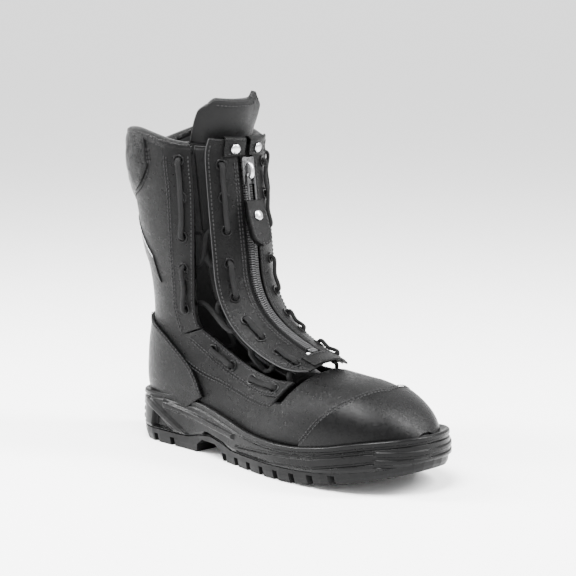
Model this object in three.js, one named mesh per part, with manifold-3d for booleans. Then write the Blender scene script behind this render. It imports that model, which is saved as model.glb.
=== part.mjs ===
// A front-zip safety boot for the right foot, in millimetres, +Z up, toe towards +X, outer side towards -Y.
// The upper is a set of leather, foam and board pieces cut from one last-shaped skin. The zip panel has its
// own curved sheet in front of it. Every piece is laid on one of those two surfaces by its distances there.
import * as THREE from "three";
import { mergeVertices } from "three/addons/utils/BufferGeometryUtils.js";
import Module from "manifold-3d";

const wasm = await Module();
wasm.setup();
const { Manifold, Mesh: SolidMesh } = wasm;

// ---------------------------------------------------------------- driving dimensions
const SOLE_LENGTH = 305; // heel to toe, over the rand
const SOLE_WIDTH = 112; // across the ball
const SHAFT_HEIGHT = 262; // ground to the highest point of the collar

// The last's shape is drawn for this length, width and height, and stretched to the sizes above.
const DRAWN = { length: 305, width: 112, height: 262, ankle: 100, panel: 223 };
const STRETCH = (SOLE_LENGTH / DRAWN.length) ** 2; // the flat facets of a curved layer sag more as it grows

const GAP = 0.3; // between pieces that touch
const GLUE = 0.8 * STRETCH; // between the hidden layers of the upper
const LAP = 0.5; // between leather and what is laid on it
const SOCK = 2.2 * STRETCH; // between the lining and what is behind it

const LEATHER = 2.0; // base leather of the upper
const OVERLAY = 1.3; // leather laid on the base: facings, heel cover
const SCUFF = 1.6; // toe scuff cap
const FILL = 2.2; // the layer behind the leather: toe cap, counter, foam and board
const LINING = 1.5;
const FOOTBED = 5;
const TONGUE = 4.5;
const PANEL = 1.8; // leather of the zip panel
const STAY = 1.2; // strip that backs a row of eyelets

const TREAD = 7; // lug height
const SHANK_WIDTH = 18;
const SHANK_THICK = 1.8;

const LACE = 4; // diameter
const LACE_CLEAR = 0.8; // round a lace in its eyelet
const EYELET_WALL = 0.6;
const FLANGE_WIDTH = 1.4; // flange beyond the eyelet's barrel
const FLANGE_THICK = 0.8;

const CHAIN_WIDTH = 3.2; // one half of the zip's teeth
const CHAIN_THICK = 3.0;
const CHAIN_SPLIT = 1.2; // between the two halves
const TAPE_WIDTH = 11;
const TAPE_THICK = 0.8;
const ZIP_SLOT = 7.5; // half width of the opening that the panel leaves for the zip

const SLIDER_LENGTH = 22;
const SLIDER_WIDTH = 13;
const SLIDER_PLATE = 1.4;
const PULLER_LENGTH = 23;
const PULLER_WIDTH = 9;
const PULLER_THICK = 1.6;
const TAB_LENGTH = 36; // below the bar that it hangs on
const TAB_WIDTH = 20;
const TAB_THICK = 5;
const RIVET_RADIUS = 4.2;

const EYELETS = 9; // in each of the four rows

// ---------------------------------------------------------------- the last
const lastX = (x) => (x * SOLE_LENGTH) / DRAWN.length;
const lastY = (y) => (y * SOLE_WIDTH) / DRAWN.width;
const lastZ = (z) =>
  z <= DRAWN.ankle
    ? z
    : DRAWN.ankle + ((z - DRAWN.ankle) * (SHAFT_HEIGHT - DRAWN.ankle)) / (DRAWN.height - DRAWN.ankle);

// Sections of the upper, fanned from the collar round the heel to the toe. Each runs from a back or bottom
// point to a front or top point. half: half width, centre: sideways shift, widest: its share from the back,
// square: how square the back and the front of the section are (2 is an ellipse).
const SECTIONS = [
  { back: [-5, 272], front: [103, 276], half: 53, centre: 0, widest: 0.5, square: [2.4, 2.5] },
  { back: [-1, 240], front: [97, 246], half: 53, centre: 0, widest: 0.5, square: [2.4, 2.5] },
  { back: [3, 208], front: [101, 216], half: 51, centre: 0, widest: 0.5, square: [2.4, 2.5] },
  { back: [8.5, 172], front: [106, 184], half: 48, centre: 0, widest: 0.49, square: [2.3, 2.4] },
  { back: [14, 136], front: [112, 156], half: 43, centre: 0, widest: 0.47, square: [2.2, 2.3] },
  { back: [14, 104], front: [121, 136], half: 39, centre: 0, widest: 0.43, square: [2.2, 2.2] },
  { back: [8, 74], front: [132, 119], half: 36, centre: 0, widest: 0.38, square: [2.3, 2.1] },
  { back: [9, 44], front: [144, 107], half: 35.5, centre: 0, widest: 0.34, square: [2.5, 2.1] },
  { back: [22, 28], front: [155, 99], half: 35.5, centre: 0, widest: 0.36, square: [2.8, 2.1] },
  { back: [48, 24], front: [165, 93], half: 36, centre: 0, widest: 0.36, square: [3.2, 2.1] },
  { back: [88, 22], front: [176, 88], half: 38, centre: 0, widest: 0.34, square: [3.6, 2.1] },
  { back: [130, 18], front: [188, 84], half: 43, centre: 0, widest: 0.33, square: [3.8, 2.1] },
  { back: [168, 16], front: [202, 81], half: 49, centre: 0, widest: 0.33, square: [3.8, 2.2] },
  { back: [202, 16], front: [219, 79], half: 51, centre: 0, widest: 0.34, square: [3.6, 2.3] },
  { back: [232, 17], front: [238, 77], half: 49.5, centre: 1, widest: 0.36, square: [3.4, 2.4] },
  { back: [257, 19], front: [257, 72], half: 44.5, centre: 3, widest: 0.38, square: [3.2, 2.4] },
  { back: [276, 22], front: [274, 63], half: 36, centre: 5, widest: 0.4, square: [3, 2.4] },
  { back: [289, 26], front: [286, 53], half: 24, centre: 7, widest: 0.42, square: [2.8, 2.4] },
  { back: [296, 33], front: [294, 43], half: 9, centre: 8, widest: 0.45, square: [2.4, 2.4] },
];
const LAST_SECTION = SECTIONS.length - 1;

// Catmull-Rom between four values.
function cubic(a, b, c, d, t) {
  return b + 0.5 * t * (c - a + t * (2 * a - 5 * b + 4 * c - d + t * (3 * (b - c) + d - a)));
}

// One number of the sections, read between them: v counts sections from the collar.
function between(v, read) {
  const i = Math.min(LAST_SECTION - 1, Math.max(0, Math.floor(v)));
  const pick = (k) => read(SECTIONS[Math.min(LAST_SECTION, Math.max(0, k))]);
  return cubic(pick(i - 1), pick(i), pick(i + 1), pick(i + 2), v - i);
}

const HALF_POINTS = 96;
const profiles = new Map();

// Half of the section at v, from its front centre round one side to its back centre, with distances along it.
function profile(v) {
  const key = v.toFixed(4);
  if (profiles.has(key)) return profiles.get(key);
  const back = [lastX(between(v, (s) => s.back[0])), lastZ(between(v, (s) => s.back[1]))];
  const front = [lastX(between(v, (s) => s.front[0])), lastZ(between(v, (s) => s.front[1]))];
  const widest = between(v, (s) => s.widest);
  const half = lastY(between(v, (s) => s.half));
  const squares = [between(v, (s) => s.square[0]), between(v, (s) => s.square[1])];
  const points = [];
  for (let k = 0; k <= HALF_POINTS; k++) {
    const turn = (Math.PI * k) / HALF_POINTS;
    const ahead = Math.cos(turn) >= 0;
    const power = 2 / squares[ahead ? 1 : 0];
    const reach = Math.abs(Math.cos(turn)) ** power;
    const share = ahead ? widest + (1 - widest) * reach : widest - widest * reach;
    points.push([
      back[0] + (front[0] - back[0]) * share,
      half * Math.abs(Math.sin(turn)) ** power,
      back[1] + (front[1] - back[1]) * share,
    ]);
  }
  const run = [0];
  for (let k = 1; k < points.length; k++)
    run.push(run[k - 1] + Math.hypot(...points[k].map((c, n) => c - points[k - 1][n])));
  const made = { points, run, length: run[run.length - 1], centre: lastY(between(v, (s) => s.centre)) };
  profiles.set(key, made);
  return made;
}

const girth = (v) => profile(v).length;

// A point of the skin: s is the distance from the front centre line, negative on the outer side. Past the
// back centre line it goes on round the other side.
function skinPoint(v, s) {
  const { points, run, length, centre } = profile(v);
  const wrapped = s > length ? s - 2 * length : s < -length ? s + 2 * length : s;
  const d = Math.abs(wrapped);
  let k = 1;
  while (k < run.length - 1 && run[k] < d) k++;
  const t = Math.min(1, (d - run[k - 1]) / (run[k] - run[k - 1] || 1));
  const at = points[k - 1].map((c, n) => c + (points[k][n] - c) * t);
  return new THREE.Vector3(at[0], centre + Math.sign(wrapped) * at[1], at[2]);
}

const NORMAL_STEP_V = 0.05;
const NORMAL_STEP_S = 1.5;

// The skin moved out by depth along its normal.
function skin(v, s, depth = 0) {
  const share = s / girth(v);
  const low = Math.max(0, v - NORMAL_STEP_V);
  const high = Math.min(LAST_SECTION, v + NORMAL_STEP_V);
  const along = skinPoint(high, share * girth(high)).sub(skinPoint(low, share * girth(low)));
  const across = skinPoint(v, s + NORMAL_STEP_S).sub(skinPoint(v, s - NORMAL_STEP_S));
  return skinPoint(v, s).addScaledVector(along.cross(across).normalize(), depth);
}

// Axes on the skin: x down along it, z out of it.
function skinFrame(v, s, depth = 0) {
  const origin = skin(v, s, depth);
  const out = skin(v, s, depth + 1).sub(origin).normalize();
  const ahead = skin(v + NORMAL_STEP_V, s, depth).sub(origin);
  const side = out.clone().cross(ahead).normalize();
  return new THREE.Matrix4().makeBasis(side.clone().cross(out), side, out).setPosition(origin);
}

// ---------------------------------------------------------------- the zip panel's sheet
const STRAIGHT_TOP = [104.3, 247];
const STRAIGHT_END = [116, 148];
const STRAIGHT_STEPS = 12;
const panelLine = [[106.4, 257]];
for (let k = 0; k <= STRAIGHT_STEPS; k++) {
  const t = k / STRAIGHT_STEPS;
  panelLine.push([0, 1].map((n) => STRAIGHT_TOP[n] + (STRAIGHT_END[n] - STRAIGHT_TOP[n]) * t));
}
panelLine.push([121, 133], [130, 120], [143, 109.5], [158, 101.5], [174, 95], [190, 89.5], [203, 86]);
const PANEL_ROUND = 52; // radius of the sheet across its width
const panelCurve = new THREE.CatmullRomCurve3(
  panelLine.map(([x, z]) => new THREE.Vector3(lastX(x), 0, lastZ(z))),
  false,
  "centripetal",
);
panelCurve.arcLengthDivisions = 400;
const PANEL_LENGTH = panelCurve.getLength();

// A point of the zip panel's sheet: t is the distance down from its top, s across (negative on the outer
// side), depth out of the sheet.
function sheet(t, s, depth = 0, round = PANEL_ROUND) {
  const u = Math.min(1, Math.max(0, t / PANEL_LENGTH));
  const down = panelCurve.getTangentAt(u);
  const out = new THREE.Vector3(-down.z, 0, down.x);
  const at = panelCurve.getPointAt(u).addScaledVector(down, t - u * PANEL_LENGTH);
  const turn = s / round;
  at.addScaledVector(out, -round + (round + depth) * Math.cos(turn));
  at.y += (round + depth) * Math.sin(turn);
  return at;
}

// Axes on the sheet at t on its centre line: x down, y to the inner side, z out.
function sheetFrame(t, s = 0, depth = 0) {
  const step = 0.5;
  const origin = sheet(t, s, depth);
  const down = sheet(t + step, s, depth).sub(sheet(t - step, s, depth)).normalize();
  const side = sheet(t, s + step, depth).sub(sheet(t, s - step, depth)).normalize();
  const out = down.clone().cross(side).normalize();
  return new THREE.Matrix4().makeBasis(down, side, out).setPosition(origin);
}

// ---------------------------------------------------------------- solids
// A closed geometry as a manifold solid, turned to face out.
function solid(geometry) {
  const plain = geometry.index ? geometry.toNonIndexed() : geometry.clone();
  for (const name of Object.keys(plain.attributes)) if (name !== "position") plain.deleteAttribute(name);
  const merged = mergeVertices(plain, 1e-4);
  const build = (triVerts) =>
    new Manifold(new SolidMesh({ numProp: 3, vertProperties: merged.attributes.position.array, triVerts }));
  const triVerts = new Uint32Array(merged.index.array);
  const made = build(triVerts);
  if (made.volume() > 0) return made;
  for (let i = 0; i < triVerts.length; i += 3)
    [triVerts[i + 1], triVerts[i + 2]] = [triVerts[i + 2], triVerts[i + 1]];
  return build(triVerts);
}

function geometryOf(made) {
  const { numProp, numVert, vertProperties, triVerts } = made.getMesh();
  const position = new Float32Array(numVert * 3);
  for (let i = 0; i < numVert; i++) {
    const vertex = vertProperties.subarray(i * numProp, i * numProp + 3);
    position.set(vertex, i * 3);
  }
  return new THREE.BufferGeometry()
    .setAttribute("position", new THREE.BufferAttribute(position, 3))
    .setIndex(new THREE.BufferAttribute(triVerts, 1));
}

// A sheet with thickness on a grid: at(i, j, face) gives the grid's points on its inner face (0) and outer
// face (1), and keep(i, j) says which cells are there. closed joins the last column to the first.
function slab({ at, rows, columns, closed = false, keep = () => true }) {
  const across = closed ? columns : columns + 1;
  const position = [];
  for (const face of [0, 1])
    for (let i = 0; i <= rows; i++)
      for (let j = 0; j < across; j++) position.push(...at(i, j, face).toArray());
  const id = (face, i, j) => face * (rows + 1) * across + i * across + (j % across);
  const index = [];
  const quad = (a, b, c, d) => index.push(a, b, c, a, c, d);
  const wall = (i0, j0, i1, j1) => quad(id(1, i0, j0), id(0, i0, j0), id(0, i1, j1), id(1, i1, j1));
  const there = (i, j) => {
    if (i < 0 || i >= rows) return false;
    if (!closed && (j < 0 || j >= columns)) return false;
    return keep(i, (j + columns) % columns);
  };
  for (let i = 0; i < rows; i++)
    for (let j = 0; j < columns; j++) {
      if (!there(i, j)) continue;
      quad(id(1, i, j), id(1, i + 1, j), id(1, i + 1, j + 1), id(1, i, j + 1));
      quad(id(0, i, j), id(0, i, j + 1), id(0, i + 1, j + 1), id(0, i + 1, j));
      if (!there(i - 1, j)) wall(i, j + 1, i, j);
      if (!there(i + 1, j)) wall(i + 1, j, i + 1, j + 1);
      if (!there(i, j - 1)) wall(i, j, i + 1, j);
      if (!there(i, j + 1)) wall(i + 1, j + 1, i, j + 1);
    }
  const geometry = new THREE.BufferGeometry();
  geometry.setAttribute("position", new THREE.Float32BufferAttribute(position, 3));
  return solid(geometry.setIndex(index));
}

// Column j of bands laid side by side: which band it starts in, and how far across that band it is.
function bandOf(columns, j) {
  let band = 0;
  let left = j;
  while (band < columns.length - 1 && left >= columns[band]) {
    left -= columns[band];
    band++;
  }
  return { band, share: left / columns[band] };
}

const value = (given, ...at) => (typeof given === "function" ? given(...at) : given);

const TOP_ROWS = 2; // rows that follow a bent first edge

// The rows of a piece between two places: its own ends and the skin's shared rows between them, which lie
// closer round the heel.
const HEEL_V = 6.8; // the lowest row that goes round the back of the heel
const HEEL_ROWS = 5; // shared rows each side of it
const HEEL_STEP = 0.4;
const heelRow = (k) => HEEL_V + HEEL_STEP * k;
const SHARED_ROWS = [1, 2, 3, 4];
for (let k = -HEEL_ROWS; k <= HEEL_ROWS; k++) SHARED_ROWS.push(heelRow(k));
SHARED_ROWS.push(9.6, 10.4, 11.2, 12, 12.8, 13.6, 14.4, 15.2, 15.8, 16.4, 17, 17.5);
function sharedRows(from, to) {
  const room = 0.12;
  return [from, ...SHARED_ROWS.filter((v) => v > from + room && v < to - room), to];
}

// A piece of a surface from row from to row to. edges are the bands' edges across, as functions of the row's
// place, columns the number of cells in each band. inner and outer are depths, or functions of the shares
// along and across. keep says which band is there at a place, and top bends the first edge.
function piece(surface, { from, to, rows, places, edges, columns, inner, outer, closed, keep, top }) {
  const stops = places ?? Array.from({ length: rows + 1 }, (_, i) => from + ((to - from) * i) / rows);
  const count = stops.length - 1;
  const total = columns.reduce((sum, n) => sum + n, 0);
  const at = (i, j, face) => {
    const { band, share } = bandOf(columns, j);
    const v = stops[i];
    const s = edges[band](v) + (edges[band + 1](v) - edges[band](v)) * share;
    const bent = top ? v + (top(v, s) - stops[0]) * Math.max(0, 1 - i / TOP_ROWS) : v;
    return surface(bent, s, value(face ? outer : inner, i / count, j / total, v));
  };
  const kept = keep && ((i, j) => keep((stops[i] + stops[i + 1]) / 2, bandOf(columns, j).band));
  return slab({ at, rows: count, columns: total, closed, keep: kept });
}

const skinPiece = (shape) => piece(skin, { places: sharedRows(shape.from, shape.to), ...shape });
const SHEET_STEP = 9;
function sheetRows(from, to) {
  const rows = [from];
  for (let t = 0; t < PANEL_LENGTH; t += SHEET_STEP)
    if (t > from + SHEET_STEP / 4 && t < to - SHEET_STEP / 4) rows.push(t);
  return [...rows, to];
}
const sheetPiece = (shape) =>
  piece(sheet, shape.rows ? shape : { places: sheetRows(shape.from, shape.to), ...shape });

// Everything inside the skin moved out by depth, between two sections.
function skinPlug(from, to, depth, columns) {
  const ring = (v) =>
    Array.from({ length: columns }, (_, j) => skin(v, girth(v) * ((2 * j) / columns - 1), depth));
  const rings = sharedRows(from, to).map(ring);
  rings.push(rings[rings.length - 1].map((p) => p.clone().add(new THREE.Vector3(2 * GAP, 0, 0))));
  return ringsSolid(rings);
}

// A closed solid through rings of points, with a flat fan at each end.
function ringsSolid(rings) {
  const columns = rings[0].length;
  const position = rings.flat().flatMap((p) => p.toArray());
  const index = [];
  for (let i = 0; i < rings.length - 1; i++)
    for (let j = 0; j < columns; j++) {
      const a = i * columns + j;
      const b = i * columns + ((j + 1) % columns);
      index.push(a, a + columns, b + columns, a, b + columns, b);
    }
  for (const [end, order] of [[0, [0, 1]], [rings.length - 1, [1, 0]]]) {
    const middle = rings[end].reduce((sum, p) => sum.add(p), new THREE.Vector3()).divideScalar(columns);
    const centre = position.push(...middle.toArray()) / 3 - 1;
    for (let j = 0; j < columns; j++) {
      const rim = [end * columns + j, end * columns + ((j + 1) % columns)];
      index.push(centre, rim[order[0]], rim[order[1]]);
    }
  }
  const geometry = new THREE.BufferGeometry();
  geometry.setAttribute("position", new THREE.Float32BufferAttribute(position, 3));
  return solid(geometry.setIndex(index));
}

// A curve whose even steps fall on its own points.
class Route extends THREE.CatmullRomCurve3 {
  getPointAt(u, target) {
    return this.getPoint(u, target);
  }
  getTangentAt(u, target) {
    return this.getTangent(u, target);
  }
}

// A cord through points, with its ends closed.
function cord(points, radius, sides = 8) {
  const shape = new THREE.Shape(
    Array.from({ length: sides }, (_, k) => {
      const turn = (2 * Math.PI * k) / sides;
      return new THREE.Vector2(radius * Math.cos(turn), radius * Math.sin(turn));
    }),
  );
  const extrudePath = new Route(points, false, "centripetal");
  const options = { steps: points.length - 1, extrudePath, bevelEnabled: false };
  return solid(new THREE.ExtrudeGeometry(shape, options));
}

function block(length, width, height, matrix) {
  return solid(new THREE.BoxGeometry(length, width, height).applyMatrix4(matrix));
}

const shifted = (matrix, x, y, z) => matrix.clone().multiply(new THREE.Matrix4().makeTranslation(x, y, z));

// A cylinder that stands along the frame's z.
function pin(matrix, radius, from, to, sides = 12) {
  const geometry = new THREE.CylinderGeometry(radius, radius, to - from, sides);
  geometry.rotateX(Math.PI / 2).translate(0, 0, (from + to) / 2);
  return solid(geometry.applyMatrix4(matrix));
}

// ---------------------------------------------------------------- where the pieces meet
// A smooth curve through [x, y] stops, level with its end stops beyond them.
const through = (stops) => {
  const last = stops.length - 1;
  const slope = (i) => {
    const [a, b] = [stops[Math.max(0, i - 1)], stops[Math.min(last, i + 1)]];
    return (b[1] - a[1]) / (b[0] - a[0]);
  };
  return (x) => {
    if (x <= stops[0][0]) return stops[0][1];
    if (x >= stops[last][0]) return stops[last][1];
    const i = stops.findIndex((stop) => stop[0] > x) - 1;
    const span = stops[i + 1][0] - stops[i][0];
    const t = (x - stops[i][0]) / span;
    const ease = t * t * (3 - 2 * t);
    const rise = span * (slope(i) * t * (1 - t) ** 2 - slope(i + 1) * t * t * (1 - t));
    return stops[i][1] + (stops[i + 1][1] - stops[i][1]) * ease + rise;
  };
};

// The sole's top edge and the ground under it, by x.
const RIM = [
  [0, 41], [30, 43], [62, 44], [95, 42], [130, 36],
  [160, 31], [205, 30], [240, 34], [275, 41], [305, 45],
];
const rimHeight = through(RIM.map(([x, z]) => [lastX(x), z]));
const TOE_SPRING = 18;
const TOE_THIN = 4; // how much thinner the outsole gets towards the toe
const SPRING_START = lastX(180);
const HEEL_BEVEL = 3;
const BEVEL_END = 12;
const groundHeight = (x) => {
  const toe = Math.max(0, (x - SPRING_START) / (SOLE_LENGTH - SPRING_START));
  const heel = Math.max(0, 1 - x / BEVEL_END);
  return TOE_SPRING * toe ** 2 + HEEL_BEVEL * heel ** 2;
};

// Where the skin passes the sole's top edge, a little above it, as a distance from the front centre line.
const RIM_CLEAR = 1;
const HALVINGS = 24;
const BACK_SHARE = 0.86; // of the way round, where a section doesn't reach the sole
function soleEdge(v) {
  const above = (s) => skinPoint(v, s).z > rimHeight(skinPoint(v, s).x) + RIM_CLEAR;
  let [low, high] = [0, girth(v)];
  if (above(high)) return BACK_SHARE * high;
  for (let n = 0; n < HALVINGS; n++) {
    const middle = (low + high) / 2;
    if (above(middle)) low = middle;
    else high = middle;
  }
  return low;
}
// Distances from the front centre line, by place along the skin.
const COLLAR_V = 0.79;
const COLLAR_DIP = 0.37;
const COLLAR_FLAT = 0.27; // of the way round, from the front, before the collar starts to dip
const collarEdge = (v, s) => {
  const share = Math.max(0, (Math.abs(s) / girth(COLLAR_V) - COLLAR_FLAT) / (1 - COLLAR_FLAT));
  return COLLAR_V - COLLAR_DIP * Math.sin(Math.PI * Math.min(1, share)) ** 1.5;
};
const opening = through([
  [0, 43], [2, 43], [4, 49], [5.2, 58], [5.9, 61],
  [6.4, 55], [7.2, 49], [10, 39], [11.5, 33],
]);
const facingWidth = through([[5, 23], [6.1, 20], [7, 19], [11.5, 17]]);
const facingBack = (v) => opening(v) + facingWidth(v);
const EYELET_IN = 10; // eyelets' distance from the facing's edge
const CORNER_V = heelRow(-2); // where the shaft's facing meets the instep's
const CORNER_GAP = 0.03; // between the two facings, in sections
const THROAT_V = 12;
const UPPER_FACING = [COLLAR_V, CORNER_V - CORNER_GAP / 2];
const LOWER_FACING = [CORNER_V + CORNER_GAP / 2, THROAT_V - 0.25];
const QUARTER_END = THROAT_V - 0.3;
const WING_GAP = 0.04; // between the quarters' bottom edge and the vamp's wings
const quarterLow = through([
  [HEEL_V, 94], [9.2, 73], [10.6, 64], [12, 58], [13, 52],
  [14.5, 45], [16, 36], [17, 24], [18, 9],
]);
const featherEdge = (v) => girth(v) * through([[6.6, 0.97], [7.5, 0.9], [9, 0.84], [11, 0.8], [17, 0.76]])(v);
const heelFront = through([[4.95, 130], [5.5, 108], [6.4, 95], [7.25, 91], [8.2, 94], [9.2, 100]]);
const HEEL_COVER = [4.95, 9.2];

const UPPER_ROW = [1.12, 2.1, 3.05, 3.85, 5.15];
const LOWER_ROW = [7, 8.4, 9.9, 11.25];
const SHAFT_FIRST = 19.5;
const SHAFT_PITCH = 26.6;
const INSTEP_FIRST = 146;
const INSTEP_PITCH = 20.3;
const panelRow = Array.from({ length: EYELETS }, (_, k) =>
  k < UPPER_ROW.length ? SHAFT_FIRST + SHAFT_PITCH * k : INSTEP_FIRST + INSTEP_PITCH * (k - UPPER_ROW.length),
).map((t) => (t * PANEL_LENGTH) / DRAWN.panel);
const PANEL_COLUMN = 23; // eyelets' distance from the zip's centre line
const panelEdge = through([
  [0, 33], [20, 35], [150, 35], [195, 33], [PANEL_LENGTH - 12, 29], [PANEL_LENGTH, 21],
]);

const mirrored = (edge, side) => (v) => side * edge(v);
const SIDES = { lateral: -1, medial: 1 };
const bothSides = (make) => Object.entries(SIDES).forEach(([name, side]) => make(name, side));

// ---------------------------------------------------------------- the group
const boot = new THREE.Group();
const MATERIALS = {
  leather: { color: 0x1b1b1c, roughness: 0.55, metalness: 0 },
  scuff: { color: 0x202021, roughness: 0.45, metalness: 0 },
  rubber: { color: 0x161617, roughness: 0.6, metalness: 0 },
  foam: { color: 0x1d1e20, roughness: 0.5, metalness: 0 },
  textile: { color: 0x17191a, roughness: 0.9, metalness: 0 },
  plastic: { color: 0x0e0e0f, roughness: 0.35, metalness: 0 },
  metal: { color: 0x8f9194, roughness: 0.3, metalness: 1 },
  board: { color: 0xb9a67e, roughness: 0.8, metalness: 0 },
  reflective: { color: 0x9aa0a6, roughness: 0.4, metalness: 0.2 },
};

function add(name, made, look) {
  const mesh = new THREE.Mesh(geometryOf(made), new THREE.MeshStandardMaterial(MATERIALS[look]));
  mesh.name = name;
  boot.add(mesh);
}

// ---------------------------------------------------------------- depths
const LEATHER_IN = -LEATHER;
const OVER_IN = LAP;
const OVER_OUT = OVER_IN + OVERLAY;
const FILL_OUT = LEATHER_IN - GLUE;
const FILL_IN = FILL_OUT - FILL;
const LINING_OUT = FILL_IN - SOCK;
const LINING_IN = LINING_OUT - LINING;
const STAY_OUT = LEATHER_IN - GLUE;
const STAY_IN = STAY_OUT - STAY;

// ---------------------------------------------------------------- eyelets
const EYELET_BORE = LACE / 2 + LACE_CLEAR;
const EYELET_HOLE = EYELET_BORE + EYELET_WALL + GAP;
const EYELET_FLANGE = EYELET_BORE + EYELET_WALL + FLANGE_WIDTH;
const EYELET_SIDES = 6;

const THROUGH = 8; // how far a cutter reaches each way from a surface, past every layer of it

const joined = (solids) => solids.reduce((all, one) => all.add(one));

// The holes that a row of eyelets needs in the leather it goes through.
const eyeletHoles = (frames) =>
  joined(frames.map((frame) => pin(frame, EYELET_HOLE, -THROUGH, THROUGH, EYELET_SIDES)));

// A row of eyelets on the strip that backs them: flange is the depth of their flanges' undersides.
function eyeletRow(frames, strip, stripIn, flange) {
  const barrel = EYELET_BORE + EYELET_WALL;
  const profile = [
    [EYELET_BORE, stripIn],
    [barrel, stripIn],
    [barrel, flange],
    [EYELET_FLANGE, flange],
    [EYELET_BORE, flange + FLANGE_THICK],
    [EYELET_BORE, stripIn],
  ].map(([radius, z]) => new THREE.Vector2(radius, z));
  const eyelet = (frame) =>
    solid(new THREE.LatheGeometry(profile, EYELET_SIDES).rotateX(Math.PI / 2).applyMatrix4(frame));
  const cutter = pin(new THREE.Matrix4(), EYELET_BORE + EYELET_WALL / 2, -THROUGH, THROUGH, EYELET_SIDES);
  const holes = joined(frames.map((frame) => cutter.transform(frame.toArray())));
  return joined([strip.subtract(holes), ...frames.map(eyelet)]);
}

const facingFrames = (places, side) => places.map((v) => skinFrame(v, side * (opening(v) + EYELET_IN)));
const panelFrames = (side) => panelRow.map((t) => sheetFrame(t, side * PANEL_COLUMN));

// ---------------------------------------------------------------- sole
const STATIONS = 30;
const HEEL_ROUND = 40;
const TOE_ROUND = 78;
const ROUNDING = 2.3;
const halfWidths = {
  "-1": through([[0, 38.5], [45, 39], [85, 39.5], [125, 45], [165, 52], [195, 56], [235, 55.5], [305, 52]]),
  1: through([[0, 38.5], [45, 38.5], [85, 38], [125, 41], [165, 48], [205, 55], [235, 56], [305, 54]]),
};
const toeShift = through([[170, 0], [235, 1.5], [305, 8]]);

// The sole's edge in plan at a share of its length.
function outline(share, side) {
  const x = DRAWN.length * share;
  const heel = Math.max(0, 1 - x / HEEL_ROUND);
  const toe = Math.max(0, 1 - (DRAWN.length - x) / TOE_ROUND);
  const round = (1 - Math.max(heel, toe) ** ROUNDING) ** (1 / ROUNDING);
  return lastY(toeShift(x) + side * halfWidths[side](x) * round);
}

// A closed solid of the sole's outline through levels, each a height by x and a distance inside the outline.
function soleSolid(levels) {
  const count = 2 * STATIONS;
  const position = [];
  for (const { z, inset } of levels)
    for (let k = 0; k < count; k++) {
      const side = k <= STATIONS ? -1 : 1;
      const i = k <= STATIONS ? k : count - k;
      const share = (1 - Math.cos((Math.PI * i) / STATIONS)) / 2;
      const narrow = 1 - (2 * inset) / SOLE_WIDTH;
      const x = inset + share * (SOLE_LENGTH - 2 * inset);
      position.push(x, outline(share, side) * narrow, z(SOLE_LENGTH * share));
    }
  const index = [];
  for (let level = 0; level < levels.length - 1; level++)
    for (let k = 0; k < count; k++) {
      const a = level * count + k;
      const b = level * count + ((k + 1) % count);
      index.push(a, b, b + count, a, b + count, a + count);
    }
  for (const [base, flip] of [[0, false], [(levels.length - 1) * count, true]])
    for (let i = 0; i < STATIONS; i++) {
      const [a, b] = [base + i, base + i + 1];
      const [c, d] = [base + ((count - i - 1) % count), base + ((count - i) % count)];
      for (const [p, q, r] of [[a, c, b], [a, d, c]])
        if (p !== q && q !== r && p !== r) index.push(...(flip ? [p, r, q] : [p, q, r]));
    }
  const geometry = new THREE.BufferGeometry();
  geometry.setAttribute("position", new THREE.Float32BufferAttribute(position, 3));
  return solid(geometry.setIndex(index));
}

// An outline in the XZ plane drawn right across the sole.
function across(points, width = 2 * SOLE_WIDTH) {
  const shape = new THREE.Shape(points.map(([x, z]) => new THREE.Vector2(x, z)));
  const geometry = new THREE.ExtrudeGeometry(shape, { depth: width, bevelEnabled: false });
  return solid(geometry.rotateX(Math.PI / 2).translate(0, width / 2, 0));
}

const PLATE = 4; // outsole above its lugs
const GROOVE = 5;
const ARCH = [lastX(86), lastX(124)];
const ARCH_RISE = 6; // of the sole's underside under the arch, above the top of the lugs
const archLift = through([[ARCH[0] - 12, 0], [(ARCH[0] + ARCH[1]) / 2, ARCH_RISE], [ARCH[1] + 14, 0]]);
const toeThin = through([[lastX(200), 0], [lastX(300), TOE_THIN]]);
const plateTop = (x) => groundHeight(x) + TREAD + PLATE + archLift(x) - toeThin(x);
const midsoleBottom = (x) => plateTop(x) + GAP;

// A groove between lugs at x, running back at an angle from the centre line on one side.
function groove(x, side, angle, from, to) {
  const turn = new THREE.Matrix4().makeRotationZ(side * angle);
  const length = to - from;
  const matrix = new THREE.Matrix4().makeTranslation(x, 0, groundHeight(x) - toeThin(x)).multiply(turn);
  return block(GROOVE, length, 2 * TREAD, shifted(matrix, 0, side * (from + length / 2), 0));
}

function outsole() {
  const full = soleSolid([
    { z: groundHeight, inset: 3 },
    { z: (x) => (groundHeight(x) + plateTop(x)) / 2, inset: 1.5 },
    { z: plateTop, inset: 1 },
  ]);
  const arch = across([
    [ARCH[0], -1],
    [ARCH[0] + 2, TREAD],
    [ARCH[0] + 9, TREAD + ARCH_RISE - 1],
    [ARCH[1] - 11, TREAD + ARCH_RISE - 1],
    [ARCH[1] - 2, TREAD],
    [ARCH[1], -1],
  ]);
  const grooves = [];
  const heelRows = [24, 45, 66].map(lastX);
  const frontRows = [142, 160, 178, 196, 214, 232, 250, 268].map(lastX);
  for (const side of [-1, 1]) {
    for (const x of heelRows) grooves.push(groove(x, side, 0.25, -2, SOLE_WIDTH));
    for (const x of frontRows) grooves.push(groove(x, side, 0.35, -2, SOLE_WIDTH));
  }
  return grooves.reduce((left, cut) => left.subtract(cut), full.subtract(arch));
}

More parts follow.
